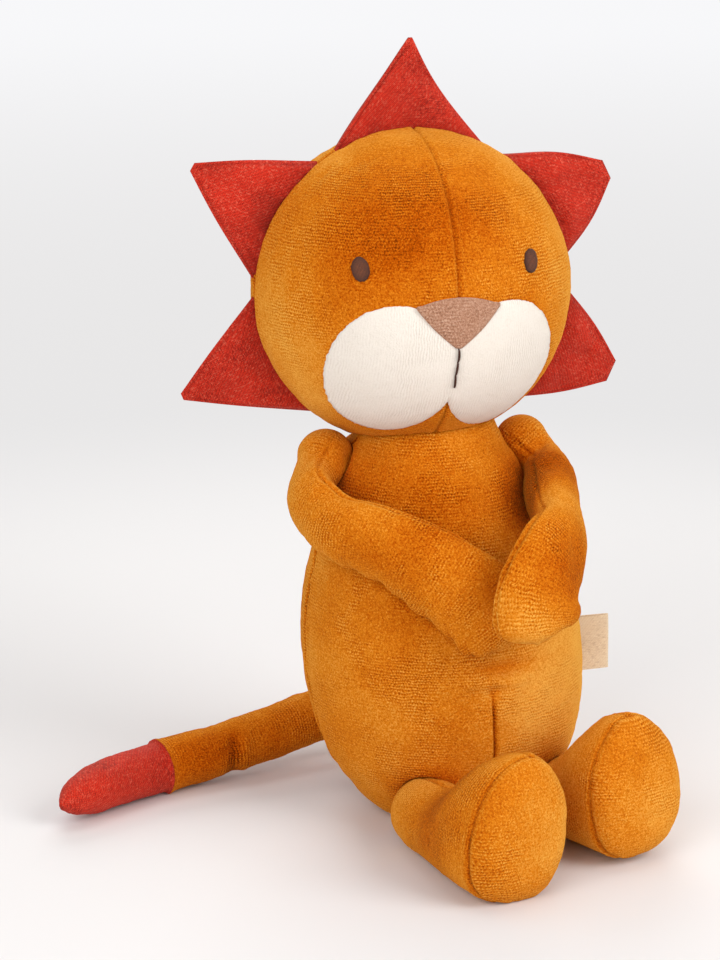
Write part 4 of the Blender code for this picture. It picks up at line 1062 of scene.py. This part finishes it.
def make_cushion(number, place, side, start, end, tip, reach):
    """One pointed cushion: a front and a back cloth that meet in a turned-in edge."""
    blunt, bow, lean = MANE_TIPS[place]
    start, end, tip = np.radians((start, end, tip))
    up, across = np.linspace(0, 1, MANE_ROWS), np.linspace(-1, 1, MANE_COLUMNS)
    up, across = np.meshgrid(up, across, indexing="ij")
    out = np.array([np.sin(tip) * side, 0, np.cos(tip)])
    sideways = np.array([np.cos(tip) * side, 0, -np.sin(tip)])
    turn = mix(start, end, (across + 1) / 2)
    wide, tall = HEAD_WIDTH / 2 - MANE_SEAM, HEAD_HEIGHT / 2 - MANE_SEAM
    seam = np.stack([wide * np.sin(turn) * side, 0 * turn, tall * np.cos(turn)], -1)
    peak = out * ((HEAD_WIDTH + HEAD_HEIGHT) / 4 + MANE_REACH * reach)
    peak = peak + sideways * across[..., None] * blunt / 2
    belly = across * bow * np.sin(np.pi * up**1.3) ** 1.2 + lean * np.sin(np.pi * up)
    local = seam + (peak - seam) * up[..., None] + sideways * belly[..., None] + Y * MANE_SETBACK
    base = HEAD_CENTRE + local
    uv = np.stack([local @ sideways, local @ out], -1).reshape(-1, 2)
    fullness = 0.62 + 0.38 * np.sin(np.pi * np.minimum(up * 1.6, 1))
    swell = np.sqrt(np.maximum(1 - np.abs(across) ** 2.6, 0)) * np.maximum(1 - up, 0) ** 0.5 * fullness
    width = np.linalg.norm(base[:, -1:] - base[:, :1], axis=2)
    edge = (1 - np.abs(across)) * width / 2
    run = np.linalg.norm(base - base[:1], axis=2)
    fade = np.minimum(edge / (3 * MM), 1) * np.minimum((1 - up) / 0.1, 1)
    # the turned-in edge shows through, broadest on the left of the top point
    inset = (2.2 if place == "top" else 1.5) * MM
    ridge = bell(edge - inset, 0.5 * MM) * smooth_step(1.0, 0.85, up)
    if place == "top":
        ridge = ridge * np.where(across < 0, 1.6, 0.5)
    index = np.arange(up.size).reshape(up.shape)
    border = np.concatenate([index[:, 0], index[-1, 1:], index[::-1, -1][1:]])
    inner = len(uv) + np.arange(len(border))
    for layer, sign in (("front", -1), ("back", 1)):
        where = base + sign * 0.02
        bumps = 1.5 * lattice(where, 12 * MM, 70 + number) + 0.5 * lattice(where, 4.5 * MM, 80 + number)
        gather = 1.5 * line_noise(across * 0.02, 3.6 * MM, 90 + number + sign) * fading(run, 8 * MM)
        pucker = 0.22 * line_noise(run, 3.0 * MM, 95 + number + sign * 2) * fading(edge, 2.5 * MM)
        uneven = (bumps * fade + gather + pucker) * MM * (0.3 + 0.7 * fade)
        depth = np.maximum(MANE_THICKNESS / 2 * swell + uneven - 0.35 * MM * ridge, 0.22 * MM)
        depth[:, 0] = depth[:, -1] = depth[-1] = MANE_LIP
        # painted shade: along the turned-in edge, near the base by the head, and in the dents
        shade = 0.30 * ridge + 0.50 * fading(run, 4.5 * MM)
        shade = shade + 0.22 * smooth_step(0.1, -0.8, gather + 0.6 * bumps)
        points = (base + sign * depth[..., None] * Y).reshape(-1, 3)
        faces = facing(grid_quads(index), points, Y * sign)
        # the edge of the cloth is turned in to the seam
        turned_in = points[border] - Y * sign * MANE_LIP
        turned_in += unit(base.mean((0, 1)) - turned_in) * 0.5 * MM
        faces += quads(border[:-1], border[1:], inner[1:], inner[:-1])
        item = mesh_object(
            f"mane_{place}_{layer}_cloth",
            np.concatenate([points, turned_in]),
            faces,
            "red",
            uv=np.concatenate([uv, uv[border]]),
            shade=np.clip(np.append(shade.ravel(), shade.ravel()[border]), 0, 0.8),
        )
        nodes = [f"mane_{place}_{layer}"] + ([f"mane_{place}_filling"] if sign < 0 else [])
        dress(item, "head", nodes)


for number, point in enumerate(MANE_POINTS):
    make_cushion(number, *point)


# ---- arms


def arm_rings(name, path):
    """The rings from the shoulder ball to the hand."""
    rings = []
    for share, wide, thick in ARM_PROFILE + HAND_PROFILE[name] + (HAND_END[name],):
        last = share == HAND_END[name][0]
        half = HAND_WIDTH / 2 * wide if last else mix(ARM_WIDTH, HAND_WIDTH, wide) / 2
        centre, way = along(path, ARM_LENGTH * (share * HAND_SHARE[name]))
        face = across_to(unit(centre - torso_axis(centre[2])), way)
        twist = ARM_TWIST[name] * smooth_step(0.72, 0.5, share)
        ring = oval(centre, np.cross(way, face), face, half, ARM_THICKNESS / 2 * thick, twist)
        if name == "left" and not last:
            # the gathered top of this arm bulges back against the chest
            ring = resized(ring, 1 + LEFT_HAND_SWELL * smooth_step(0.55, 0.7, share))
            middle = ring.mean(0)
            gathered = smooth_step(0.5, 0.28, share) * (0.2 + 0.8 * smooth_step(0.12, 0.30, share))
            ring = resized(ring, 1 + LEFT_TOP_SWELL * gathered)
            chest = unit(torso_axis(middle[2]) - middle)
            ring = ring + chest * LEFT_TOP_BULGE * smooth_step(0.55, 0.3, share)
        rings.append(ring)
    return rings


def make_arm(name, side):
    pivot = shoulder_pivot(side)
    path = [pivot]
    for angle, height, layers in ARM_PATHS[name]:
        out = ARM_THICKNESS / 2 + LIMB_GAP + (ARM_THICKNESS + LIMB_GAP) * layers
        path.append(torso_place(np.radians(angle), height * TORSO_HEIGHT, out))
    way = unit(path[1] - pivot)
    face = across_to(torso_direction(side * np.pi / 2, SHOULDER_HEIGHT), way)
    root = (way, np.cross(way, face), face, SHOULDER_RADIUS, SHOULDER_RINGS, ARM_TWIST[name])
    rings = root_rings(pivot, *root) + arm_rings(name, path)
    end, _ = along(path, ARM_LENGTH * HAND_SHARE[name])
    form = Form(rings, pivot - way * SHOULDER_RADIUS, end, ARM_COLUMNS, LIMB_GRAIN)
    half = form.columns // 2
    grows = smooth_step(0.008, 0.020, form.down)
    form.stuff(100 + side, large=0.45, small=0.18, share=0.1 + 0.9 * grows)
    for column, seed in ((0, 110), (half, 120)):
        gap = form.from_column(column)
        form.sew("arm", gap, form.down, grows, seed + side)
        form.lift += MM * line_noise(form.down, 9 * MM, seed + 2) * fading(gap, 5 * MM) * grows
    if name == "left":
        # the face that is folded against the chest lies flat, with painted shade where the fold shadows it
        form.dark += 0.16 * bell(np.linalg.norm(form.p - LEFT_HIDDEN_FACE, axis=2), 11 * MM)
    low_edge = form.from_column(0 if name == "right" else half)
    stray = 0.6 + 0.8 * line_noise(form.down, 15 * MM, 131)
    scallop = np.sqrt(np.sin(np.pi * form.down / SCALLOP_PITCH + stray) ** 2 + 0.02) - 0.62
    # painted shade in the dips between the scallops and along the lower edge, where the arm turns under
    dip_shade = 0.35 * smooth_step(-0.1, -0.45, scallop) * fading(low_edge, 3 * MM)
    form.dark += (dip_shade + 0.20 * bell(low_edge, 2.2 * MM) + 0.20 * bell(low_edge, 0.7 * MM)) * grows
    form.lift += SCALLOP_DEPTH[name] * scallop * fading(low_edge, SCALLOP_REACH) * grows
    for place, radius, depth in ARM_DENTS[name]:
        form.lift -= depth * bell(np.linalg.norm(form.p - np.array(place), axis=2), radius)
    form.settle()
    sewn_halves(form, f"arm_{name}", ("outer", "inner"), form.rows - 1)
    return form


arms = {name: make_arm(name, side) for name, side in (("right", -1), ("left", 1))}


# ---- legs


def turn_matrix(angle, axis):
    return np.array(Matrix.Rotation(angle, 3, axis))


def leg_ring(pivot, way, up, share, half_height, half_width, roll, heel):
    tip = np.radians(roll)
    reach = np.hypot(half_height * np.cos(tip), half_width * np.sin(tip))
    centre = pivot + way * LEG_LENGTH * share + up * (reach - HIP_RADIUS)
    tall = turn_matrix(tip, Vector(way)) @ up
    side = np.cross(tall, way)
    ring = oval(centre, tall, side, half_height, half_width)
    # the heel is squarer and a little broader than the toes
    down = -(ring - centre) @ tall / half_height
    low = np.clip(down, 0, 0.97)
    broad = (1 - low**HEEL_POWER) ** (1 / HEEL_POWER) / np.sqrt(1 - low**2) - 1 + HEEL * down
    return ring + side * ((ring - centre) @ side * broad * heel)[:, None]


def make_leg(name, angle, heading, lift, roll, pressed):
    pivot = hip_pivot(angle)
    turned = turn_matrix(np.radians(heading), "Z") @ turn_matrix(np.radians(-lift), "X")
    way, up = turned @ -Y, turned @ Z
    rings = root_rings(pivot, way, up, np.cross(up, way), HIP_RADIUS, ROOT_RINGS)
    for share, wide, tall in LEG_PROFILE:
        half_height = mix(2 * HIP_RADIUS, FOOT_HEIGHT, tall) / 2
        half_width = mix(LEG_WIDTH, FOOT_WIDTH, wide) / 2
        sizes = (half_height, half_width, roll * tall, tall)
        rings.append(leg_ring(pivot, way, up, share - pressed, *sizes))
    for share, dome in SOLE_RINGS:
        place = LEG_PROFILE[-1][0] - pressed + SOLE_DOME * dome / LEG_LENGTH
        ring = leg_ring(pivot, way, up, place, FOOT_HEIGHT / 2, FOOT_WIDTH / 2, roll, 1.0)
        rings.append(resized(ring, share))
    end = rings[-1].mean(0) + way * SOLE_DOME * (1 - SOLE_RINGS[-1][1])
    form = Form(rings, pivot - way * HIP_RADIUS, end, LEG_COLUMNS, LIMB_GRAIN)
    sole_row = form.ring_rows[len(ROOT_RINGS) + len(LEG_PROFILE)]
    grows = smooth_step(0.010, 0.024, form.down)
    form.stuff(200 + heading, large=0.45, share=0.1 + 0.9 * grows)
    past = form.from_row(sole_row)
    for column, seed in ((0, 210), (form.columns // 2, 220)):
        form.sew("leg", form.from_column(column), form.down, grows * (past <= 0), seed + heading)
    run = form.from_column(0)[sole_row][None] + 0 * form.down
    # the welt round the sole fades towards the toes
    welt = 0.45 + 0.55 * smooth_step(0.036, 0.012, form.p[sole_row, :, 2])
    form.sew("sole", past, run, welt, 230 + heading)
    form.settle()
    limb = f"leg_{name}"
    layers = ("inner", "outer") if name == "right" else ("outer", "inner")
    sewn_halves(form, limb, layers, sole_row)
    uv = np.stack([form.p @ np.cross(up, way), form.p @ up], -1)
    rows, piece = (sole_row, form.rows - 1), f"{limb}_sole"
    cover(form, f"{piece}_velour", rows, (0, form.columns), uv, limb, [piece])
    return form


legs = {leg[0]: make_leg(*leg) for leg in LEGS}


def paint_contact_shade(names, form, reach, amount):
    """Paints shade into the pile where another piece lies against it: the shadow between them, and pile
    laid flat there.
    """
    places = form.p[::2, ::2].reshape(-1, 3)
    tree = KDTree(len(places))
    for index, place in enumerate(places):
        tree.insert(place, index)
    tree.balance()
    low, high = places.min(0) - 2 * reach, places.max(0) + 2 * reach
    for name in names:
        mesh = bpy.data.objects[name].data
        points = np.empty(len(mesh.vertices) * 3, np.float32)
        nap = np.empty(len(mesh.vertices), np.float32)
        mesh.vertices.foreach_get("co", points)
        mesh.attributes["nap"].data.foreach_get("value", nap)
        points = points.reshape(-1, 3)
        for index in np.nonzero(((points > low) & (points < high)).all(1))[0]:
            nap[index] -= amount * bell(tree.find(points[index])[2], reach)
        mesh.attributes["nap"].data.foreach_set("value", nap)


TORSO_PANELS = ["torso_front_velour", "torso_back_left_velour", "torso_back_right_velour"]
paint_contact_shade(TORSO_PANELS, arms["right"], 3.2 * MM, 0.34)
paint_contact_shade(TORSO_PANELS, arms["left"], 5 * MM, 0.20)
paint_contact_shade(["arm_right_outer_velour", "arm_right_inner_velour"], arms["left"], 3 * MM, 0.34)
for leg in legs.values():
    paint_contact_shade(TORSO_PANELS, leg, 4 * MM, 0.30)
paint_contact_shade(["leg_right_inner_velour", "leg_left_inner_velour"], torso, 4 * MM, 0.30)


# ---- tail


def make_tail():
    drop = TAIL_TIP_WIDTH / 2 - FLOOR_CUT - TAIL_PIVOT[2]
    size = np.array([TAIL_LENGTH, TAIL_LENGTH, drop])
    path = [TAIL_PIVOT + np.array(place) * size for place in TAIL_PATH]
    way = unit(path[1] - path[0])
    face = across_to(Z, way)
    rings = root_rings(TAIL_PIVOT, way, np.cross(way, face), face, TAIL_ROOT_RADIUS, ROOT_RINGS)
    sizes = [(share, mix(TAIL_WIDTH, TAIL_TIP_WIDTH, wide) / 2) for share, wide in TAIL_PROFILE]
    for share, radius in sizes + [(TAIL_END[0], TAIL_TIP_WIDTH / 2 * TAIL_END[1])]:
        centre, here = along(path, TAIL_LENGTH * share)
        face = across_to(Z, here)
        rings.append(oval(centre, np.cross(here, face), face, radius, radius))
    end, _ = along(path, TAIL_LENGTH)
    form = Form(rings, TAIL_PIVOT - way * TAIL_ROOT_RADIUS, end, TAIL_COLUMNS, LIMB_GRAIN)
    cuff = form.ring_rows[CUFF_RING]
    form.stuff(300, large=0.4, small=0.2)
    # the seam runs along underneath
    grows = smooth_step(0.010, 0.020, form.down)
    form.sew("tail", form.from_column(3 * form.columns // 4), form.down, grows, 310)
    # the velour's folded end stands over the woven tip
    past = form.from_row(cuff)
    form.lift += smooth_step(-2.0 * MM, -0.9 * MM, past) * (past <= 0) * CUFF_HEM
    form.lift -= (past > 0) * smooth_step(0.0, 0.6 * MM, past) * CUFF_STEP
    # a soft fold across the front of its middle
    fold = form.p[..., 0] - (TAIL_PIVOT[0] - TAIL_FOLD)
    front = smooth_step(-0.2, 0.7, -form.n[..., 1]) * smooth_step(0.9, 0.3, form.n[..., 2])
    form.lift -= 1.5 * MM * bell(fold, 2.4 * MM) * front
    form.lift += 0.7 * MM * bell(fold - 4.2 * MM, 2.2 * MM) * front
    # painted shade in the fold
    form.dark += 0.30 * bell(fold, 2.0 * MM) * front
    form.settle()
    uv = form.cloth_places(form.columns // 4)
    whole = (0, form.columns)
    nodes = ["tail_sleeve", "tail_stuffing"]
    cover(form, "tail_sleeve_velour", (0, cuff), whole, uv, "tail", nodes)
    rows = (cuff, form.rows - 1)
    cover(form, "tail_tip_cloth", rows, whole, uv, "tail", ["tail_tip"], "red")


make_tail()


# ---- tag


def make_tag():
    """A folded ribbon, bare of any print."""
    rows, columns = np.arange(TAG_ROWS + 1) / TAG_ROWS, np.arange(TAG_COLUMNS + 1) / TAG_COLUMNS
    rise, out = np.meshgrid(rows, columns, indexing="ij")
    height = TAG_MIDDLE + TAG_HEIGHT * (rise - 0.5)
    foot = np.array([torso_place(np.pi / 2, h, -TAG_SEAM) for h in height[:, 0]])[:, None]
    inner, outer = (torso_place(np.pi / 2, TAG_MIDDLE, o)[0] for o in (-TAG_SEAM, TAG_REACH))
    gap = TAG_HALF_GAP * np.sqrt(np.maximum(1 - out**6, 0))
    wave = TAG_WAVE * np.sin(rise * 5 + 1) * out
    x = mix(foot[..., 0], outer, out)
    layers = [np.stack([x, foot[..., 1] + k * gap + wave, height], -1) for k in (-1, 1)]
    points = np.array(layers).reshape(-1, 3)
    uv = np.tile(np.stack([out * (outer - inner), height], -1).reshape(-1, 2), (2, 1))
    a, b = np.arange(len(points)).reshape(2, *out.shape)
    faces = grid_quads(a) + [q[::-1] for q in grid_quads(b)]
    for near, far in ((a[:, -1], b[:, -1]), (b[0], a[0]), (a[-1], b[-1])):
        faces += quads(near[:-1], far[:-1], far[1:], near[1:])
    item = mesh_object("side_tag_ribbon", points, faces, "ribbon", uv=uv)
    dress(item, "torso", ["side_tag"])


make_tag()


# ---- stage, light and camera


def make_floor():
    """A pale floor that keeps the shadow near the lion and fades to an even white further off."""
    n = Nodes(bpy.data.materials.new("paper"))
    reach = n.vector("LENGTH", n.place()).outputs["Value"]
    for socket, value in (("Base Color", FLOOR_COLOUR), ("Roughness", 0.9), ("Specular IOR Level", 0.1)):
        n.feed(n.shader.inputs[socket], value)
    plain = n.blend(n.ramp(reach, *WHITE_FADE), NEAR_WHITE, FAR_WHITE)
    glow = n.add("ShaderNodeEmission", {"Color": plain, "Strength": 1.0}).outputs[0]
    share = n.math("MULTIPLY", n.ramp(reach, *FLOOR_FADE), n.seen_directly())
    mixed = n.add("ShaderNodeMixShader", {0: share, 1: n.shader.outputs[0], 2: glow})
    n.feed(n.tree.nodes["Material Output"].inputs["Surface"], mixed.outputs[0])
    materials["paper"] = n.owner
    turns = TURN * np.arange(96)[:, None] / 96
    rim = (X * np.cos(turns) + Y * np.sin(turns)) * FLOOR_RADIUS
    points = np.concatenate([[0 * Z], rim]) - Z * FLOOR_SINK
    faces = [[0, 1 + k, 1 + (k + 1) % 96] for k in range(96)]
    mesh_object("floor", points, faces, "paper")


def make_world():
    n = Nodes(bpy.data.worlds.new("studio"), "Background")
    n.feed(n.shader.inputs["Color"], (1, 1, 1, 1))
    strength = n.total(WORLD_LIGHT, (n.seen_directly(), WORLD_WHITE - WORLD_LIGHT))
    n.feed(n.shader.inputs["Strength"], strength)
    bpy.context.scene.world = n.owner


def stand(name, data, place, target):
    """Puts a lamp or a camera in the scene, pointing at a place."""
    item = bpy.data.objects.new(name, data)
    item.location = place
    item.rotation_euler = (Vector(target) - Vector(place)).to_track_quat("-Z", "Y").to_euler()
    bpy.context.scene.collection.objects.link(item)
    return item


make_floor()
for name, (place, height, size, power) in LAMPS.items():
    lamp = bpy.data.lights.new(name, "AREA")
    lamp.shape = "RECTANGLE"
    lamp.size, lamp.size_y = size
    lamp.energy = power
    stand(name, lamp, place, (0.0, 0.0, height))
make_world()

camera = bpy.data.cameras.new("camera")
camera.lens = CAMERA_LENS
camera.sensor_width = SENSOR_WIDTH
camera.clip_start, camera.clip_end = 0.05, 20
bpy.context.scene.camera = stand("camera", camera, CAMERA_PLACE, CAMERA_TARGET)
bpy.context.scene.view_settings.view_transform = "Standard"
